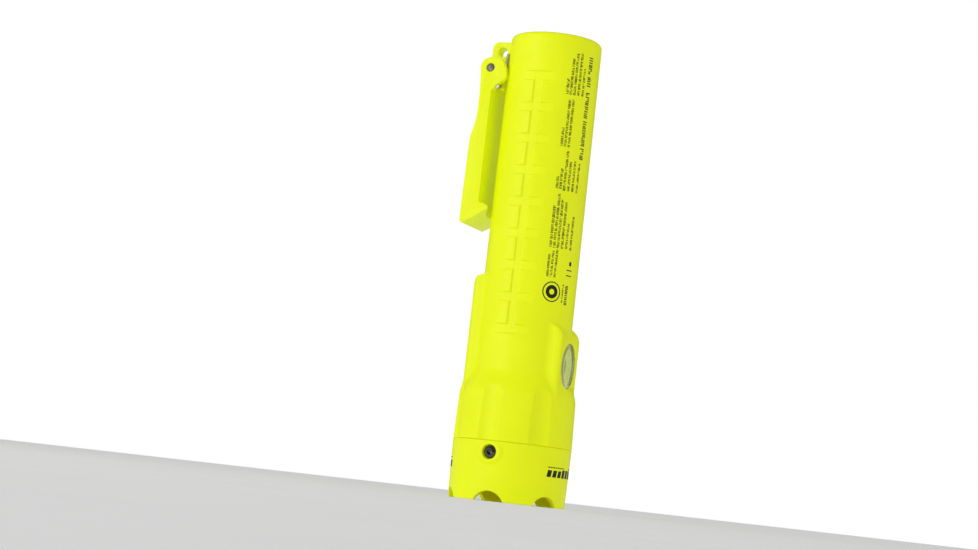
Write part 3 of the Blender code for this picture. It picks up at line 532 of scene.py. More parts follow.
def mesh_from(bm, name, smooth_angle=35):
    """Take a bmesh in millimetres about the body axis into a mesh in the frame."""
    bmesh.ops.recalc_face_normals(bm, faces=bm.faces)
    bmesh.ops.transform(bm, matrix=Matrix.Translation((0, AXIS_Y, 0)), verts=bm.verts)
    bmesh.ops.scale(bm, vec=(MM, MM, MM), verts=bm.verts)
    mesh = bpy.data.meshes.new(name)
    bm.to_mesh(mesh)
    bm.free()
    mesh.shade_smooth()
    mesh.set_sharp_from_angle(angle=math.radians(smooth_angle))
    return mesh


def tool(mesh):
    """A hidden object that only takes part in a Boolean."""
    obj = bpy.data.objects.new(mesh.name, mesh)
    bpy.context.scene.collection.objects.link(obj)
    obj.hide_render = True
    return obj


def carve(mesh, cutters=(), additions=(), bevel=None, smooth_angle=35):
    """Union and cut a mesh with others, round its edges and return the result."""
    body = tool(mesh)
    helpers = [(tool(m), "UNION") for m in additions] + [(tool(m), "DIFFERENCE") for m in cutters]
    for helper, operation in helpers:
        modifier = body.modifiers.new(helper.name, "BOOLEAN")
        modifier.operation = operation
        modifier.solver = "EXACT"
        modifier.object = helper
    if bevel:
        width, segments, angle = bevel
        rounding = body.modifiers.new("rounding", "BEVEL")
        rounding.width = width * MM
        rounding.segments = segments
        rounding.limit_method = "ANGLE"
        rounding.angle_limit = math.radians(angle)
    bpy.context.view_layer.update()
    evaluated = body.evaluated_get(bpy.context.evaluated_depsgraph_get())
    result = bpy.data.meshes.new_from_object(evaluated)
    result.name = mesh.name
    for obj in [body] + [helper for helper, _ in helpers]:
        bpy.data.objects.remove(obj, do_unlink=True)
    result.shade_smooth()
    result.set_sharp_from_angle(angle=math.radians(smooth_angle))
    return result


def arc(cx, cy, radius, start, end, steps=8):
    """Points on an arc from start to end, in degrees, both ends included."""
    points = []
    for i in range(steps + 1):
        angle = math.radians(start + (end - start) * i / steps)
        points.append((cx + radius * math.cos(angle), cy + radius * math.sin(angle)))
    return points


TURNS = {                    # takes local +Z to the named direction
    "+z": Matrix.Identity(4),
    "-z": Matrix.Rotation(math.pi, 4, "X"),
    "+y": Matrix.Rotation(-math.pi / 2, 4, "X"),
    "-y": Matrix.Rotation(math.pi / 2, 4, "X"),
    "+x": Matrix.Rotation(math.pi / 2, 4, "Y"),
    "lock": Matrix.Rotation(-LOCK_TURN, 4, "Z") @ Matrix.Rotation(-math.pi / 2, 4, "Y"),
}


def turned(name, profile, place=(0, 0, 0), towards="+z", steps=96):
    """Turn (radius, height) points about local Z, from place towards a direction."""
    bm = bmesh.new()
    rings = []
    for radius, height in profile:
        if radius < 1e-6:
            rings.append([bm.verts.new((0, 0, height))])
            continue
        ring = []
        for i in range(steps):
            angle = 2 * math.pi * i / steps
            ring.append(bm.verts.new((radius * math.cos(angle), radius * math.sin(angle),
                                      height)))
        rings.append(ring)
    open_ends = len(rings[0]) > 1 and len(rings[-1]) > 1
    pairs = list(zip(rings, rings[1:])) + ([(rings[-1], rings[0])] if open_ends else [])
    for a, b in pairs:
        for i in range(steps):
            j = (i + 1) % steps
            corners = [a[i % len(a)], a[j % len(a)], b[j % len(b)], b[i % len(b)]]
            bm.faces.new(list(dict.fromkeys(corners)))
    bm.transform(Matrix.Translation(place) @ TURNS[towards])
    return mesh_from(bm, name)


def prism(name, outline, low, high, across="x", smooth_angle=35):
    """Extrude a closed outline: (y, z) points along x, or (x, z) points along y."""
    bm = bmesh.new()
    place = {"x": lambda a, b, t: (t, a, b), "y": lambda a, b, t: (a, t, b)}[across]
    rings = [[bm.verts.new(place(a, b, t)) for a, b in outline] for t in (low, high)]
    bm.faces.new(rings[0])
    bm.faces.new(rings[1])
    count = len(outline)
    for i in range(count):
        j = (i + 1) % count
        bm.faces.new((rings[0][i], rings[0][j], rings[1][j], rings[1][i]))
    return mesh_from(bm, name, smooth_angle)


def round_rectangle(half_width, half_height, radius, centre=(0, 0), steps=6):
    points = []
    for sx, sy, start in ((1, 1, 0), (-1, 1, 90), (-1, -1, 180), (1, -1, 270)):
        points += arc(centre[0] + sx * (half_width - radius),
                      centre[1] + sy * (half_height - radius), radius, start, start + 90, steps)
    return points


# ----------------------------------------------------------------- smooth radius fields
def smooth_max(a, b, blend):
    share = np.clip(0.5 + 0.5 * (a - b) / blend, 0.0, 1.0)
    return b + (a - b) * share + blend * share * (1 - share)


def smooth_min(a, b, blend):
    return -smooth_max(-a, -b, blend)


def smooth_step(value, low, high):
    share = np.clip((value - low) / (high - low), 0.0, 1.0)
    return share * share * (3 - 2 * share)


def turned_from(angle, degrees):
    """Signed difference between an angle field and a direction, both from the flood light."""
    return (angle - math.radians(degrees) + math.pi) % (2 * math.pi) - math.pi


def graded(start, stop, coarse, zones):
    """Positions from start to stop that lie closer together inside (low, high, step)."""
    marks = [start]
    while marks[-1] < stop - 1e-9:
        here = marks[-1]
        step = coarse
        for low, high, fine in zones:
            if low - 1e-9 <= here < high - 1e-9:
                step = min(step, fine)
            elif here < low:
                step = min(step, low - here)
        marks.append(min(here + step, stop))
    return marks


def grid_mesh(name, rings, smooth_angle=35):
    """A closed skin through rings of (x, y, z) rows; the end rings may be single points."""
    bm = bmesh.new()
    rows = [[bm.verts.new(point) for point in ring] for ring in rings]
    count = max(len(row) for row in rows)
    closed = len(rows[0]) > 1
    pairs = list(zip(rows, rows[1:])) + ([(rows[-1], rows[0])] if closed else [])
    for a, b in pairs:
        for i in range(count):
            j = (i + 1) % count
            corners = [a[i % len(a)], a[j % len(a)], b[j % len(b)], b[i % len(b)]]
            bm.faces.new(list(dict.fromkeys(corners)))
    return mesh_from(bm, name, smooth_angle)


def ring_points(angle, radius, height):
    """Points at these angles from the flood light, which looks to -Y."""
    radius = np.broadcast_to(radius, angle.shape)
    height = np.broadcast_to(height, angle.shape)
    return list(zip(radius * np.sin(angle), -radius * np.cos(angle), height))


# ------------------------------------------------------------------------- main housing
def boss_radius(delta, z, half_width, face, top, nose_r, corner):
    """Radius of a boss with a flat face, flat sides and a round top end."""
    over = np.clip(z - (top - nose_r), 0.0, nose_r)
    above = np.maximum(z - top, 0.0)
    nose = face - nose_r + np.sqrt(np.maximum(nose_r ** 2 - over ** 2, 0.0)) - 2 * above
    cosine = np.cos(delta)
    front = nose / np.maximum(cosine, 0.2)
    side = half_width / np.maximum(np.abs(np.sin(delta)), 0.01)
    return np.where(cosine > 0.2, smooth_min(front, side, corner), 0.0)


def flute_radius(delta):
    """Radius to the near side of the round channel that each flute is part of."""
    flat = math.sqrt(COLLAR_R ** 2 - FLUTE_CHORD ** 2)
    drop = flat - FLUTE_FLOOR
    channel = (drop ** 2 + FLUTE_CHORD ** 2) / (2 * drop)
    centre = FLUTE_FLOOR + channel
    inside = channel ** 2 - (centre * np.sin(delta)) ** 2
    near = centre * np.cos(delta) - np.sqrt(np.maximum(inside, 0.0))
    outward = np.abs(delta) - math.asin(channel / centre)
    return np.where(np.abs(delta) < math.radians(40), near + 40 * np.maximum(outward, 0), 99.0)


def grip_depth(delta, z):
    """Depth of the nine grip bars and of the groove that links them."""
    fade = np.clip(1.0 - (delta / GRIP_HALF_ANGLE) ** 2, 0.0, 1.0)
    wall = 0.3
    bars = np.zeros(np.broadcast(delta, z).shape)
    for i in range(GRIP_BARS):
        off = np.abs(z - (GRIP_TOP_Z - GRIP_PITCH * i)) - GRIP_BAR_HEIGHT / 2
        bars = np.maximum(bars, 1.0 - smooth_step(off, -wall, wall))
    wall_angle = math.radians(1.1)
    low = GRIP_TOP_Z - GRIP_PITCH * (GRIP_BARS - 1) - GRIP_BAR_HEIGHT / 2
    across = 1.0 - smooth_step(np.abs(delta) - GROOVE_HALF_ANGLE, -wall_angle, wall_angle)
    along = smooth_step(z, low - wall, low + wall) * (1.0 - smooth_step(z, GRIP_TOP_Z, GRIP_TOP_Z + 1))
    return np.maximum(bars * fade * BAR_DEPTH, across * along * GROOVE_DEPTH)


def collar_and_tube(z):
    tube = TUBE_R_NECK + (TUBE_R_TAIL - TUBE_R_NECK) * (z - SHOULDER_Z) / (LENGTH - SHOULDER_Z)
    cone = TUBE_R_NECK + CONE_SLOPE * (CONE_FOOT_Z - z)
    collar = COLLAR_R - COLLAR_DRAFT * (z - COLLAR_WIDEST_Z)
    return smooth_min(smooth_max(tube, cone, 1.4), collar, 1.1)


def housing_radius(angle, z):
    """Outer radius of the moulding for an angle from the flood light and a height."""
    radius = collar_and_tube(z) + 0 * angle
    flood = boss_radius(turned_from(angle, 0), z, BOSS_HALF_WIDTH, FLOOD_FACE, BOSS_TOP, BOSS_ARC, 2.6)
    switch = boss_radius(turned_from(angle, 180), z, SWITCH_BOSS_HALF_WIDTH, SWITCH_FACE,
                         SWITCH_BOSS_TOP, SWITCH_BOSS_ARC, 2.4)
    root = boss_radius(turned_from(angle, 180), z, TONGUE_HALF_WIDTH + 0.5, 18.9, TONGUE_TOP - 0.4, 1.5, 0.4)
    root = np.where(z > 161.0, root, 0.0)
    radius = smooth_max(radius, flood, 1.6)
    radius = smooth_max(radius, switch, 1.6)
    for degrees in FLUTES:
        for side in (-1, 1):
            radius = smooth_min(radius, flute_radius(turned_from(angle, side * degrees)), 0.32)
    for side in (-90, 90):
        radius = radius - grip_depth(turned_from(angle, side), z)
    return smooth_max(radius, root, 0.9)


def housing_angles():
    """Columns of the skin, close together where the moulding turns corners."""
    zones = []
    for side in (-1, 1):
        for middle, half, step in ((90, 4.0, 1.0), (90 - 5, 1.0, 0.28), (90 + 5, 1.0, 0.28),
                                   (36, 10, 0.6), (147, 9, 0.6), (178.2, 12, 0.7)):
            zones.append((side * middle - half, side * middle + half, step))
        for flute in FLUTES:
            zones.append((side * flute - 13, side * flute + 13, 0.7))
    marks = graded(-180.0, 180.0, 1.6, zones)
    return np.radians(np.array(marks[:-1]))


def housing_heights():
    zones = [(SEAM_Z, 24.0, 0.25), (38.0, 53.0, 0.45), (58.0, BOSS_TOP + 1.5, 0.4),
             (82.0, 88.5, 0.35), (159.0, 163.0, 0.5), (178.0, 181.0, 0.5)]
    for i in range(GRIP_BARS):
        for side in (-1, 1):
            edge = GRIP_TOP_Z - GRIP_PITCH * i + side * GRIP_BAR_HEIGHT / 2
            zones.append((edge - 0.35, edge + 0.35, 0.1))
    return graded(SEAM_Z + 0.3, LENGTH - TAIL_ROUNDING, 1.2, zones)


def housing_skin():
    """The moulding as one closed skin: tail pocket, outside, spigot and bore."""
    angle = housing_angles()
    pocket_r = TAIL_COVER_R + GAP
    pocket_z = 178.0
    rings = [[(0.0, 0.0, pocket_z)]]
    for radius, height in ((pocket_r, pocket_z), (pocket_r, LENGTH - 0.25), (pocket_r + 0.25, LENGTH)):
        rings.append(ring_points(angle, radius, height))
    edge = housing_radius(angle, LENGTH - TAIL_ROUNDING)
    for back, height in reversed(arc(-TAIL_ROUNDING, LENGTH - TAIL_ROUNDING, TAIL_ROUNDING, 0, 90, 9)):
        rings.append(ring_points(angle, edge + back, height))
    for height in reversed(housing_heights()[:-1]):
        rings.append(ring_points(angle, housing_radius(angle, height), height))
    seam = housing_radius(angle, SEAM_Z)
    rings.append(ring_points(angle, seam - 0.03, SEAM_Z + 0.14))
    rings.append(ring_points(angle, seam - 0.22, SEAM_Z))
    inside = [(NECK_R, SEAM_Z), (NECK_R, 14.9), (19.0, 14.9), (19.0, 12.9), (NECK_R, 12.9),
              (NECK_R, NECK_END_Z + 0.5), (NECK_R - 0.5, NECK_END_Z), (HEAD_BORE_R, NECK_END_Z),
              (HEAD_BORE_R, 42.0), (BORE_R, 46.0), (BORE_R, 176.4)]
    for radius, height in inside:
        rings.append(ring_points(angle, radius, height))
    rings.append([(0.0, 0.0, 176.4)])
    return grid_mesh("housing_skin", rings, 40)


def tongue():
    """The lug that the clip's pin and a lanyard go through."""
    corner = arc(TONGUE_EDGE - 2.8, TONGUE_TOP - 2.8, 2.8, 0, 90, 8)
    outline = [(16.6, 161.4), (19.0, 161.9), (24.2, 165.3)]
    outline += arc(TONGUE_EDGE - 1.5, 167.4, 1.5, -50, 0, 4) + corner + [(16.6, TONGUE_TOP)]
    return carve(prism("tongue", outline, -TONGUE_HALF_WIDTH, TONGUE_HALF_WIDTH),
                 bevel=(0.45, 3, 60))


def lipped_bore(name, radius, floor, face, lip, place, towards, steps=72):
    """A round cutter that widens at the face, so that the bore gets a rounded lip."""
    profile = [(0, face + 6), (radius + lip * 3, face + 6), (radius + lip * 3, face + lip)]
    profile += [(radius + lip * (1 - math.sin(turn)), face - lip * (1 - math.cos(turn)))
                for turn in (0.0, 0.4, 0.8, 1.2, math.pi / 2)]
    profile += [(radius, floor), (0, floor)]
    return turned(name, profile, place, towards, steps)


def housing_cutters():
    flood = (0, 0, FLOOD_Z)
    cutters = [
        lipped_bore("flood_bore", FLOOD_LENS_R + 0.12, 16.2, FLOOD_FACE, 0.15, flood, "-y"),
        turned("flood_hole", [(0, 18.0), (7.8, 18.0), (7.8, 12.0), (0, 12.0)], flood, "-y", 64),
    ]
    pocket = round_rectangle(SWITCH_HALF_WIDTH + 0.15, SWITCH_HALF_LENGTH + 0.15, 1.3,
                             (0, SWITCH_MID_Z))
    cutters.append(prism("switch_pocket", pocket, SWITCH_POCKET_FLOOR, SWITCH_FACE + 6, "y"))
    for name, z in BUTTON_Z.items():
        cutters.append(turned(name + "_pocket", [(0, 24.0), (6.4, 24.0), (6.4, 16.4), (0, 16.4)],
                              (0, 0, z), "+y", 64))
        cutters.append(turned(name + "_stem", [(0, 18.0), (2.6, 18.0), (2.6, 12.0), (0, 12.0)],
                              (0, 0, z), "+y", 48))
    hinge = (0, HINGE_Y, HINGE_Z)
    cutters.append(turned("hinge_bore", [(0, 6), (PIN_R + 0.2, 6), (PIN_R + 0.2, -6), (0, -6)],
                          hinge, "+x", 48))
    y, z, r = LANYARD
    edge = TONGUE_HALF_WIDTH
    hole = [(0, 8), (r + 0.5, 8), (r + 0.5, edge), (r + 0.12, edge - 0.12), (r, edge - 0.5)]
    hole += [(radius, -height) for radius, height in reversed(hole)]
    cutters.append(turned("lanyard_hole", hole, (0, y, z), "+x", 64))
    cutters.append(turned("lock_hole", [(0, 25), (1.6, 25), (1.6, 15), (0, 15)],
                          (0, 0, LOCK_SCREW_Z), "lock", 32))
    return cutters


def make_housing():
    mesh = carve(housing_skin(), housing_cutters(), [tongue()], smooth_angle=38)
    add_piece("housing_shell", mesh, "housing", "hi_vis_plastic", ["main_housing"])


# ---------------------------------------------------------------------------- bezel ring
def scallop_height(angle, radius):
    """Height of the scalloped rim above the ground."""
    height = np.zeros(angle.shape)
    for degrees in SCALLOPS:
        delta = turned_from(angle, degrees)
        across = radius * np.sin(delta)
        cut = SCALLOP_CENTRE_Z + np.sqrt(np.maximum(SCALLOP_R ** 2 - across ** 2, 0.0))
        cut = np.where((np.cos(delta) > 0.5) & (np.abs(across) < SCALLOP_R), cut, -2.0)
        height = smooth_max(height, cut, 0.35)
    return height


def bezel_radius(angle, z):
    """Outer radius, with the flat round pad that the locking screw sits in."""
    slope = (BEZEL_R_TOP - BEZEL_R_RIM) / BEZEL_TOP
    radius = BEZEL_R_RIM + slope * z
    delta = turned_from(angle, LOCK_ANGLE)
    across = radius * np.sin(delta)
    out = np.sqrt(across ** 2 + (z - LOCK_SCREW_Z) ** 2)
    face = LOCK_PAD_FACE + 0.1 - 0.6 * np.maximum(out - LOCK_PAD_R, 0.0)
    pad = np.where(np.cos(delta) > 0.85, face / np.maximum(np.cos(delta), 0.85), 0.0)
    return smooth_max(radius, pad, 0.1)


def make_bezel():
    """The ring as one skin whose lower rim follows the scallops."""
    zones = [(LOCK_ANGLE - 17, LOCK_ANGLE + 17, 0.45)]
    for degrees in SCALLOPS:
        middle = degrees if degrees < 180 else degrees - 360
        zones.append((middle - 19, middle + 19, 0.6))
    angle = np.radians(np.array(graded(-180.0, 180.0, 1.5, zones)[:-1]))
    bore_r = NECK_R + 0.4
    edge = 0.4
    rings = []
    top = [(bore_r, BEZEL_EDGE), (22.75, BEZEL_EDGE)]
    for radius, height in top:
        rings.append(ring_points(angle, radius, height))
    wall = bezel_radius(angle, BEZEL_EDGE)
    rings.append(ring_points(angle, wall - 0.1, BEZEL_EDGE - 0.06))
    rings.append(ring_points(angle, wall, BEZEL_EDGE - 0.22))
    rows = [0.55 * i for i in range(1, int((BEZEL_EDGE - 5.2) / 0.55))]
    for drop in rows:
        height = np.full(angle.shape, BEZEL_EDGE - 0.22 - drop)
        rings.append(ring_points(angle, bezel_radius(angle, height), height))
    last = BEZEL_EDGE - 0.22 - rows[-1]
    rim = scallop_height(angle, BEZEL_R_RIM) + edge
    for share in (0.3, 0.6, 0.85, 1.0):
        height = last + (rim - last) * share
        rings.append(ring_points(angle, bezel_radius(angle, height), height))
    outer = bezel_radius(angle, rim)
    for back, low in arc(-edge, 0.0, edge, 0, -90, 5)[1:]:
        rings.append(ring_points(angle, outer + back, rim + low))
    for share in (0.35, 0.7, 1.0):
        radius = (outer - edge) + (RIM_INNER_R + edge - (outer - edge)) * share
        height = scallop_height(angle, float(np.mean(radius)))
        rings.append(ring_points(angle, radius, height))
    inner = scallop_height(angle, RIM_INNER_R)
    cone = (LIP_R + 2.2 - RIM_INNER_R) / LIP_FRONT_Z
    rings.append(ring_points(angle, RIM_INNER_R + 0.12 + cone * inner, inner + 0.06))
    rings.append(ring_points(angle, RIM_INNER_R + cone * (inner + 0.3), inner + 0.34))
    for share in (0.5, 1.0):
        height = (inner + 0.34) + (LIP_FRONT_Z - inner - 0.34) * share
        rings.append(ring_points(angle, RIM_INNER_R + cone * height, height))
    for radius, height in ((LIP_R + 0.2, LIP_FRONT_Z), (LIP_R, LIP_FRONT_Z + 0.2),
                           (LIP_R, LIP_BACK_Z), (bore_r, LIP_BACK_Z)):
        rings.append(ring_points(angle, radius, height))
    skin = grid_mesh("bezel_skin", rings, 40)
    place = (0, 0, LOCK_SCREW_Z)
    counterbore = lipped_bore("lock_counterbore", LOCK_HEAD_R + 0.25, 21.3, LOCK_PAD_FACE + 0.08,
                              0.22, place, "lock", 64)
    clearance = turned("lock_clearance", [(0, 26), (1.65, 26), (1.65, 18), (0, 18)], place, "lock",
                       32)
    mesh = carve(skin, [counterbore, clearance], smooth_angle=40)
    add_piece("bezel", mesh, "housing", "hi_vis_plastic", ["bezel_ring"])


def make_locking_screw():
    """Button-head socket screw."""
    tip = LOCK_TIP
    head = [(0, LOCK_HEAD_TOP)]
    head += [(LOCK_HEAD_R * math.sin(t), tip + 3.3 + (LOCK_HEAD_TOP - tip - 3.3) * math.cos(t))
             for t in (0.25, 0.5, 0.75, 1.0, 1.2, 1.4)]
    head += [(LOCK_HEAD_R, tip + 3.25), (LOCK_HEAD_R - 0.08, tip + 3.0), (1.4, tip + 3.0)]
    thread = []
    for i in range(9):
        height = tip + 2.6 - 0.28 * i
        thread += [(1.38, height), (1.18, height - 0.14)]
    place = (0, 0, LOCK_SCREW_Z)
    body = turned("screw_body", head + thread + [(1.0, tip), (0, tip)], place, "lock", 72)
    socket = turned("hex_socket", [(0, 30), (1.3, 30), (1.3, tip + 3.2), (0, tip + 2.7)], place,
                    "lock", 6)
    mesh = carve(body, [socket], bevel=(0.07, 2, 45), smooth_angle=30)
    add_piece("lock_screw", mesh, "housing", "black_steel", ["locking_screw"])


# --------------------------------------------------------------------------- spot optics
def make_spot_optics():
    """Front lens, gasket, reflector and light source, seen from below the rim."""
    lens_low, lens_high = box_mm("front_lens")
    r = lens_high.x
    lens = [(0, lens_high.z), (r - 0.2, lens_high.z), (r, lens_high.z - 0.2),
            (r, lens_low.z + 0.2), (r - 0.2, lens_low.z), (0, lens_low.z)]
    add_piece("spot_lens", turned("spot_lens", lens, steps=128), "housing", "clear_plastic",
              ["front_lens"])
    low, high = box_mm("lens_gasket")
    inner = 17.9
    band = [(x, y) for x, y in round_rectangle((high.x - inner) / 2, (high.z - low.z) / 2, 0.35,
                                               ((high.x + inner) / 2, (high.z + low.z) / 2), 4)]
    add_piece("spot_lens_gasket", turned("spot_lens_gasket", band, steps=128), "housing",
              "black_rubber", ["lens_gasket"])
    low, high = box_mm("spot_reflector")
    focus = 3.67
    apex = 29.0
    wall = 0.8
    heights = np.linspace(low.z, high.z, 40)
    inside = [(math.sqrt(4 * focus * (apex - z)), z) for z in heights]
    outside = [(radius + wall, z) for radius, z in reversed(inside[6:])]
    flange = [(high.x, inside[6][1]), (high.x, low.z)]
    add_piece("spot_mirror", turned("spot_mirror", outside + flange + inside, steps=128),
              "housing", "mirror", ["spot_reflector"])
    low, high = box_mm("spot_led")
    dome = arc(0, high.z - 0.8, 1.6, 0, -90, 10)
    source = [(0, high.z), (high.x, high.z), (high.x, high.z - 0.8), (1.75, high.z - 0.8)] + dome
    add_piece("spot_led_dome", turned("spot_led_dome", source, steps=64), "housing", "led",
              ["spot_led"])


# --------------------------------------------------------------------------- flood light
def make_flood_light():
    place = (0, 0, FLOOD_Z)
    r = FLOOD_LENS_R
    face = FLOOD_FACE - 0.03
    back = FLOOD_LENS_BACK
    lens = [(0, face), (r * 0.6, face - 0.01), (r - 0.12, face - 0.02), (r - 0.03, face - 0.06)]
    lens += [(r, face - 0.14), (r, back), (r - 0.9, back)]
    lens += [(r - 1.2, back + 0.35), (0, back + 0.35)]
    add_piece("flood_window", turned("flood_window", lens, place, "-y", 128), "housing",
              "flood_window", ["flood_lens"])
    low, high = box_mm("flood_gasket")
    front = AXIS_Y - low.y
    seat = AXIS_Y - high.y
    inner = r - 0.2
    band = [(r, front), (r, seat), (inner, seat), (inner, front)]
    add_piece("flood_seal", turned("flood_seal", band, place, "-y", 96), "housing",
              "black_rubber", ["flood_gasket"])
    cup_r = box_mm("flood_reflector")[1].x
    front = 16.8
    deep = 9.9
    outside = [(cup_r, front), (cup_r, 15.6), (6.2, 12.4), (3.8, deep), (2.9, deep)]
    inside = [(3.3 + (6.8 - 3.3) * t ** 0.8, 10.6 + (15.9 - 10.6) * t) for t in np.linspace(0, 1, 14)]
    cup = turned("flood_cup", outside + inside + [(6.8, front)], place, "-y", 96)
    add_piece("flood_cup", cup, "housing", "satin_reflector", ["flood_reflector"])
    source = [(0, 11.0), (0.5, 10.95), (0.95, 10.78), (1.3, 10.5), (1.5, 10.1), (1.58, 9.6)]
    source += [(2.2, 9.6), (2.2, 9.0), (0, 9.0)]
    add_piece("flood_led_dome", turned("flood_led_dome", source, place, "-y", 48), "housing",
              "led", ["flood_led"])


# ------------------------------------------------------------------------------ switches
def make_switch_frame():
    """Black plate with a raised collar round each button."""
    outline = round_rectangle(SWITCH_HALF_WIDTH - 0.05, SWITCH_HALF_LENGTH - 0.05, 1.2,
                              (0, SWITCH_MID_Z))
    plate = prism("switch_plate", outline, SWITCH_POCKET_FLOOR + GAP, SWITCH_FACE - 0.25, "y")
    collars = []
    windows = []
    for name, z in BUTTON_Z.items():
        collar = [(0, SWITCH_FACE), (6.15, SWITCH_FACE), (6.45, SWITCH_FACE - 0.3)]
        collar += [(6.45, SWITCH_FACE - 0.6), (0, SWITCH_FACE - 0.6)]
        collars.append(turned(name + "_collar", collar, (0, 0, z), "+y", 96))
        window = [(0, 24.0), (5.2, 24.0), (5.2, 10.0), (0, 10.0)]
        windows.append(turned(name + "_window", window, (0, 0, z), "+y", 96))
    mesh = carve(plate, windows, collars, bevel=(0.12, 2, 50), smooth_angle=32)
    add_piece("switch_surround", mesh, "housing", "black_plastic", ["switch_frame"])


def make_buttons():
    """Rubber caps: the spot light's has a raised pip, the flood light's a wide dish."""
    for name, z in BUTTON_Z.items():
        top = BUTTON_TOP
        r = 5.0
        if name == "spot_button":
            crown = [(0, top), (0.55, top - 0.04), (0.85, top - 0.22), (1.0, top - 0.42)]
            crown += [(2.2, top - 0.36), (3.1, top - 0.22), (3.6, top - 0.14)]
        else:
            crown = [(0, top - 0.5), (1.2, top - 0.47), (2.2, top - 0.36), (3.0, top - 0.18)]
            crown += [(3.35, top - 0.06), (3.6, top - 0.05)]
        shoulder = [(4.1, top - 0.2), (4.55, top - 0.45), (4.85, top - 0.8), (r, top - 1.25)]
        flange_top = SWITCH_POCKET_FLOOR
        skirt = [(r, flange_top), (BUTTON_FLANGE_R, flange_top)]
        skirt += [(BUTTON_FLANGE_R, flange_top - 0.8), (2.2, flange_top - 0.8)]
        stem = [(2.2, BUTTON_END + 0.3), (1.9, BUTTON_END), (0, BUTTON_END)]
        mesh = turned(name + "_cap", crown + shoulder + skirt + stem, (0, 0, z), "+y", 96)
        body = name.replace("button", "switch")
        add_piece(name + "_cap", mesh, body, "black_rubber", [name])


# ------------------------------------------------------------------------------ the clip
def clip_outline():
    """Side view of the lever as (y, z): ears, outer face, foot, inner face and heel."""
    ear = arc(HINGE_Y - 0.1, HINGE_Z, 4.15, 103, -4, 14)
    thin = [(25.85, 164.0), (25.6, 159.5), (25.5, 155.5), (25.6, 150.5), (25.9, 147.2)]
    ramp = [(26.5, 144.6), (27.1, 142.4), (27.45, 140.6), (27.6, 138.6)]
    thick = [(27.8, 125.0), (CLIP_OUTER, 111.0)]
    toe = arc(CLIP_OUTER - 1.3, CLIP_FOOT_Z + 1.4, 1.3, 0, -75, 5)
    foot = [(22.8, 108.7), (18.6, 111.9)] + arc(18.2, 113.2, 1.1, 235, 120, 5)
    foot += [(18.9, 114.75), (20.4, 114.95)] + arc(20.1, 115.85, 0.9, -75, 0, 4)
    heel = [(21.0, 157.5)] + arc(19.7, 159.2, 1.3, 0, 62, 4)
    heel += [(18.9, 162.1), (17.3, 163.3)] + arc(18.0, 165.9, 2.55, 225, 165, 6)
    heel += [(15.9, 168.3), (16.9, 170.9), (18.3, 172.2), (20.1, 172.85)]
    return ear + thin + ramp + thick + toe + foot + heel


def make_clip():
    half = CLIP_HALF_WIDTH
    ear = half - 3.3
    lever = carve(prism("clip_body", clip_outline(), -half, half, smooth_angle=25),
                  bevel=(0.75, 4, 48))
    cutters = [
        prism("ear_gap", [(10.0, 162.4), (32.0, 162.4), (32.0, 180.0), (10.0, 180.0)], -ear, ear),
        prism("heel_gap", [(10.0, 155.0), (20.8, 155.0), (20.8, 166.0), (10.0, 166.0)], -ear, ear),
        turned("foot_hollow", [(0, 117.0), (20.3, 117.0), (20.3, 105.0), (0, 105.0)], steps=160),
        turned("pin_bore", [(0, 20), (PIN_R + 0.12, 20), (PIN_R + 0.12, -20), (0, -20)],
               (0, HINGE_Y, HINGE_Z), "+x", 64),
        lipped_bore("clip_magnet_pocket", CLIP_MAGNET_R + 0.15, 22.6, CLIP_OUTER, 0.3,
                    (0, 0, CLIP_MAGNET_Z), "+y", 96),
    ]
    mesh = carve(lever, cutters, bevel=(0.2, 2, 60), smooth_angle=32)
    add_piece("clip", mesh, "clip", "hi_vis_plastic", ["clip_lever"])


def make_clip_hardware():
    edge = 0.35
    pin = [(0, PIN_HALF), (PIN_R - edge, PIN_HALF), (PIN_R - 0.1, PIN_HALF - 0.12)]
    pin += [(PIN_R, PIN_HALF - edge)]
    pin += [(radius, -height) for radius, height in reversed(pin)]
    mesh = turned("clip_pin", pin, (0, HINGE_Y, HINGE_Z), "+x", 64)
    add_piece("clip_pin", mesh, "clip", "pin_steel", ["clip_hinge_pin"])
    r = CLIP_MAGNET_R
    cover = [(0, CLIP_OUTER - 0.3), (r - 1.6, CLIP_OUTER - 0.3), (r - 1.3, CLIP_OUTER - 0.05)]
    cover += [(r - 0.3, CLIP_OUTER - 0.05), (r, CLIP_OUTER - 0.35), (r, CLIP_COVER_BACK)]
    cover += [(0, CLIP_COVER_BACK)]
    mesh = turned("magnet_cap", cover, (0, 0, CLIP_MAGNET_Z), "+y", 128)
    add_piece("magnet_cap", mesh, "clip", "hi_vis_plastic", ["clip_magnet_cover"])


def smooth_wire(name, points, diameter, body, nodes):
    """Round wire along a smooth curve through points in millimetres from the body axis."""
    curve = bpy.data.curves.new(name, "CURVE")
    curve.dimensions = "3D"
    curve.bevel_depth = diameter / 2 * MM
    curve.bevel_resolution = 5
    curve.use_fill_caps = True
    spline = curve.splines.new("POLY")
    spline.points.add(len(points) - 1)
    for point, co in zip(spline.points, points):
        point.co = (*((Vector(co) + Vector((0, AXIS_Y, 0))) * MM), 1.0)
    source = tool(curve)
    bpy.context.view_layer.update()
    mesh = bpy.data.meshes.new_from_object(source.evaluated_get(
        bpy.context.evaluated_depsgraph_get()))
    mesh.name = name
    bpy.data.objects.remove(source, do_unlink=True)
    bm = bmesh.new()
    bm.from_mesh(mesh)
    bmesh.ops.remove_doubles(bm, verts=bm.verts, dist=1e-7)
    bm.to_mesh(mesh)
    bm.free()
    mesh.shade_smooth()
    mesh.set_sharp_from_angle(angle=math.radians(50))
    return add_piece(name, mesh, body, "steel", nodes)


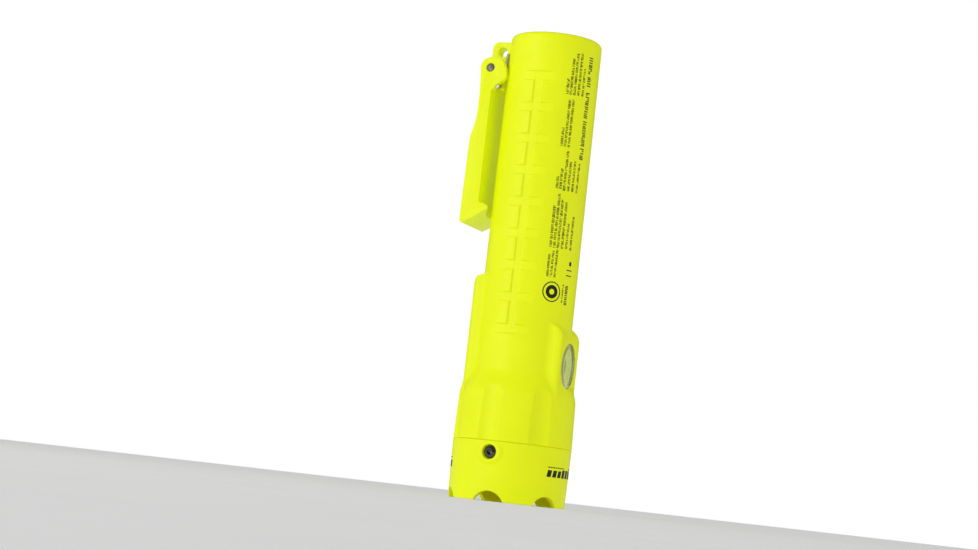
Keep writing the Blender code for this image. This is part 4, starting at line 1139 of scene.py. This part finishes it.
def through(points, steps=6):
    """Catmull-Rom points through a coarse list."""
    path = [Vector(p) for p in points]
    path = [2 * path[0] - path[1]] + path + [2 * path[-1] - path[-2]]
    fine = []
    for a, b, c, d in zip(path, path[1:], path[2:], path[3:]):
        for i in range(steps):
            t = i / steps
            fine.append(0.5 * (2 * b + (c - a) * t + (2 * a - 5 * b + 4 * c - d) * t * t
                               + (3 * b - a - 3 * c + d) * t ** 3))
    return fine + [path[-2]]


def make_torsion_springs():
    """A spring on each side of the tongue: one leg on the tube, one under the ear."""
    gauge = 1.2
    radius = 3.3
    turns = 3
    per_turn = 32
    inner_x = TONGUE_HALF_WIDTH + GAP + gauge / 2 + 0.15
    outer_x = CLIP_HALF_WIDTH - 3.3 - GAP - gauge / 2 - 0.1
    centre = Vector((0, HINGE_Y, HINGE_Z))
    for name, side in (("spring_left", -1), ("spring_right", 1)):
        leg = [(side * inner_x, -4.0, 7.4), (side * inner_x, -3.75, 5.0),
               (side * inner_x, -3.45, 1.6)]
        coil = []
        for i in range(turns * per_turn + 1):
            angle = math.pi + 2 * math.pi * i / per_turn
            x = inner_x + (outer_x - inner_x) * i / (turns * per_turn)
            coil.append(Vector((side * x, radius * math.cos(angle), radius * math.sin(angle))))
        low = -7.4
        foot = [coil[-1], (side * outer_x, -3.35, -3.2), (side * outer_x, -3.5, low + 1.7),
                (side * (outer_x + 0.25), -3.6, low + 0.5), (side * (outer_x + 1.2), -3.6, low),
                (side * (CLIP_HALF_WIDTH - 0.4), -3.6, low)]
        points = through(leg + [coil[0]], 5)[:-1] + coil + through(foot, 5)[1:]
        smooth_wire(name, [p + centre for p in points], gauge, "clip", ["clip_" + name])


# ----------------------------------------------------------------------------- the tail
def make_tail_cap():
    """Plastic disc over the tail magnet, with a shallow raised ring round a recessed middle."""
    r = TAIL_COVER_R + 0.1
    top = LENGTH - 0.12
    profile = [(0, top - 0.25), (r - 2.6, top - 0.25), (r - 2.3, top), (r - 0.35, top)]
    profile += [(r, top - 0.3), (r, TAIL_LOW.z), (0, TAIL_LOW.z)]
    add_piece("tail_cap", turned("tail_cap", profile, steps=128), "housing", "hi_vis_plastic",
              ["tail_cover"])


# ---------------------------------------------------------------------------- the print
INK_THICKNESS = 0.04
RING_MARK = (-43.2, 82.1)     # degrees from the flood light, height


class Print:
    """Black marks that lie on a round surface, each one a thin closed slab."""

    def __init__(self, surface):
        self.surface = surface
        self.spots = []          # (degrees from the flood light, height, lift)
        self.faces = []

    def slab(self, low_left, low_right, high_right, high_left):
        """A slab between four (degrees from the flood light, height) corners."""
        steps = max(1, math.ceil(abs(low_right[0] - low_left[0]) / 1.2))
        first = len(self.spots)
        for i in range(steps + 1):
            share = i / steps
            for a, b, lift in ((low_left, low_right, -0.02), (high_left, high_right, -0.02),
                               (high_left, high_right, INK_THICKNESS),
                               (low_left, low_right, INK_THICKNESS)):
                self.spots.append((a[0] + (b[0] - a[0]) * share, a[1] + (b[1] - a[1]) * share, lift))
        self.faces += [(first, first + 1, first + 2, first + 3)]
        for start in range(first, first + 4 * steps, 4):
            for i in range(4):
                j = (i + 1) % 4
                self.faces.append((start + i, start + j, start + 4 + j, start + 4 + i))
        last = first + 4 * steps
        self.faces.append((last, last + 1, last + 2, last + 3))

    def bar(self, degrees, z, width, height):
        half = math.degrees(width / 2 / TUBE_R_NECK)
        low = z - height / 2
        high = z + height / 2
        self.slab((degrees - half, low), (degrees + half, low), (degrees + half, high),
                  (degrees - half, high))

    def line_of_marks(self, degrees, top, bottom, size, stroke, chance):
        """A printed line down the tube: short strokes grouped into words, no letters."""
        z = top - stroke / 2
        while z > bottom:
            for _ in range(chance.randint(4, 14)):
                if z < bottom:
                    break
                tall = chance.choice((1.0, 1.0, 1.0, 0.8, 0.5))
                shift = math.degrees(size * (1 - tall) * chance.choice((-0.5, 0.5)) / TUBE_R_NECK)
                self.bar(degrees + shift, z, size * tall, stroke)
                z -= stroke * chance.choice((1.5, 1.8, 2.3))
            z -= stroke * 1.6

    def ring(self, degrees, z, radius, stroke, steps=40):
        """A plain circle."""
        for i in range(steps):
            corners = []
            for share, r in ((i, radius), (i + 1, radius), (i + 1, radius - stroke), (i, radius - stroke)):
                turn = 2 * math.pi * share / steps
                corners.append((degrees + math.degrees(r * math.cos(turn) / TUBE_R_NECK),
                                z + r * math.sin(turn)))
            self.slab(*corners)

    def finish(self, name):
        degrees, height, lift = np.array(self.spots).T
        angle = np.radians(degrees)
        points = ring_points(angle, self.surface(angle, height) + lift, height)
        bm = bmesh.new()
        verts = [bm.verts.new(point) for point in points]
        for face in self.faces:
            bm.faces.new([verts[i] for i in face])
        add_piece(name, mesh_from(bm, name, 20), "housing", "ink")


def make_tube_print():
    """Generic markings in place of the maker's text: stroke lines, a plain ring, bars."""
    chance = random.Random(7)
    page = Print(housing_radius)
    page.line_of_marks(-19.4, 175.5, 163.5, 2.3, 0.42, chance)
    page.line_of_marks(-19.2, 161.5, 135.2, 2.3, 0.42, chance)
    columns = (-51.6, -46.8, -41.6, -35.6, -29.0, -21.2)
    blocks = (
        (159.2, 1.15, (165.2, 173.3, 175.6, 176.0, 170.3)),
        (138.7, 1.1, (145.8, 157.0, 157.4)),
        (121.6, 1.15, (126.8, 130.0, 137.0, 133.2, 133.7, 133.2)),
        (99.2, 1.15, (115.3, 120.0, 118.0, 117.2, 109.2, 112.3)),
        (87.6, 0.95, (96.3, 97.8, 98.5)),
    )
    for bottom, size, tops in blocks:
        for degrees, top in zip(columns, tops):
            page.line_of_marks(degrees, top, bottom, size, 0.2, chance)
    page.line_of_marks(-27.0, 85.6, 78.6, 0.8, 0.16, chance)
    page.line_of_marks(-20.4, 85.4, 77.9, 1.6, 0.36, chance)
    for z in (89.3, 91.4):
        page.bar(-19.0, z, 3.2, 0.4)
    page.bar(-18.0, 94.0, 1.3, 1.6)
    page.ring(RING_MARK[0], RING_MARK[1], 3.95, 0.42)
    page.ring(RING_MARK[0], RING_MARK[1], 2.6, 1.5)
    page.finish("tube_print")


def make_bezel_print():
    """A row of slanted blocks on the head, under the flood light and under the switches."""
    page = Print(bezel_radius)
    for middle in (0, 180):
        for i in range(9):
            left = middle - 33.0 + 7.4 * i
            tall = 3.1 if 2 < i < 6 else 2.6
            page.slab((left, 11.6), (left + 5.4, 11.6), (left + 6.6, 11.6 + tall),
                      (left + 1.2, 11.6 + tall))
        for i in range(20):
            left = middle - 32.0 + 3.2 * i
            if not 7 < i < 12:
                page.slab((left, 15.1), (left + 2.4, 15.1), (left + 2.4, 15.5), (left, 15.5))
    page.finish("bezel_print")


# ------------------------------------------------------------------- camera and studio
def make_camera():
    camera = bpy.data.cameras.new("camera")
    camera.lens = 77.89
    camera.sensor_width = 36.0
    camera.clip_start = 0.01
    obj = bpy.data.objects.new("camera", camera)
    bpy.context.scene.collection.objects.link(obj)
    right = Vector((0.32904, -0.93765, 0.11206))
    up = Vector((-0.13366, 0.07124, 0.98846))
    ahead = Vector((0.93481, 0.34022, 0.10189))
    pose = Matrix((right, up, -ahead)).transposed().to_4x4()
    pose.translation = (-0.78049, -0.26895, 0.00298)
    obj.matrix_world = pose
    bpy.context.scene.camera = obj


def area_light(name, place, size, power):
    data = bpy.data.lights.new(name, "AREA")
    data.shape = "DISK"
    data.size = size
    data.energy = power
    obj = bpy.data.objects.new(name, data)
    bpy.context.scene.collection.objects.link(obj)
    obj.location = place
    aim = Vector((0, 0, LENGTH * MM / 2)) - Vector(place)
    obj.rotation_euler = aim.to_track_quat("-Z", "Y").to_euler()


HORIZON_STRENGTH = 1.16
ZENITH_STRENGTH = 0.45
MIRRORED_STRENGTH = 0.06


def white_world():
    """White behind the lamp, softer light from all round and darker reflections."""
    world = bpy.data.worlds.new("studio")
    world.use_nodes = True
    nodes = world.node_tree.nodes
    links = world.node_tree.links
    background = nodes["Background"]
    background.inputs["Color"].default_value = (1.0, 1.0, 1.0, 1.0)
    path = nodes.new("ShaderNodeLightPath")
    split = nodes.new("ShaderNodeSeparateXYZ")
    links.new(nodes.new("ShaderNodeTexCoord").outputs["Generated"], split.inputs["Vector"])
    sky = nodes.new("ShaderNodeMapRange")
    sky.inputs["To Min"].default_value = HORIZON_STRENGTH
    sky.inputs["To Max"].default_value = ZENITH_STRENGTH
    links.new(split.outputs["Z"], sky.inputs["Value"])
    mirrored = nodes.new("ShaderNodeMath")
    mirrored.operation = "SUBTRACT"
    mirrored.use_clamp = True
    links.new(path.outputs["Is Glossy Ray"], mirrored.inputs[0])
    links.new(path.outputs["Is Transmission Ray"], mirrored.inputs[1])
    strength = sky.outputs["Result"]
    for ray, level in ((mirrored.outputs["Value"], MIRRORED_STRENGTH),
                       (path.outputs["Is Camera Ray"], 1.0)):
        choose = nodes.new("ShaderNodeMix")
        choose.data_type = "FLOAT"
        links.new(ray, choose.inputs["Factor"])
        links.new(strength, choose.inputs["A"])
        choose.inputs["B"].default_value = level
        strength = choose.outputs["Result"]
    links.new(strength, background.inputs["Strength"])
    bpy.context.scene.world = world


def make_studio():
    """White surroundings, one large soft light at the front left and a pale floor."""
    white_world()
    bpy.context.scene.view_settings.view_transform = "Standard"
    area_light("key", (-0.8, 0.55, 0.16), 0.8, 2.9)
    bm = bmesh.new()
    bmesh.ops.create_circle(bm, cap_ends=True, segments=96, radius=4.0)
    mesh = bpy.data.meshes.new("floor")
    bm.to_mesh(mesh)
    bm.free()
    floor = bpy.data.objects.new("floor", mesh)
    bpy.context.scene.collection.objects.link(floor)
    finish = Finish("floor_paper", (0.93, 0.93, 0.925), 0.8)
    finish.drive("Base Color", finish.ramp(finish.noise(30, 4), (0.3, (0.92, 0.92, 0.915)),
                                           (0.7, (0.95, 0.95, 0.945))))
    mesh.materials.append(finish.material)


dress_frame()
make_housing()
make_bezel()
make_locking_screw()
make_spot_optics()
make_flood_light()
make_switch_frame()
make_buttons()
make_clip()
make_clip_hardware()
make_torsion_springs()
make_tail_cap()
make_tube_print()
make_bezel_print()
make_camera()
make_studio()
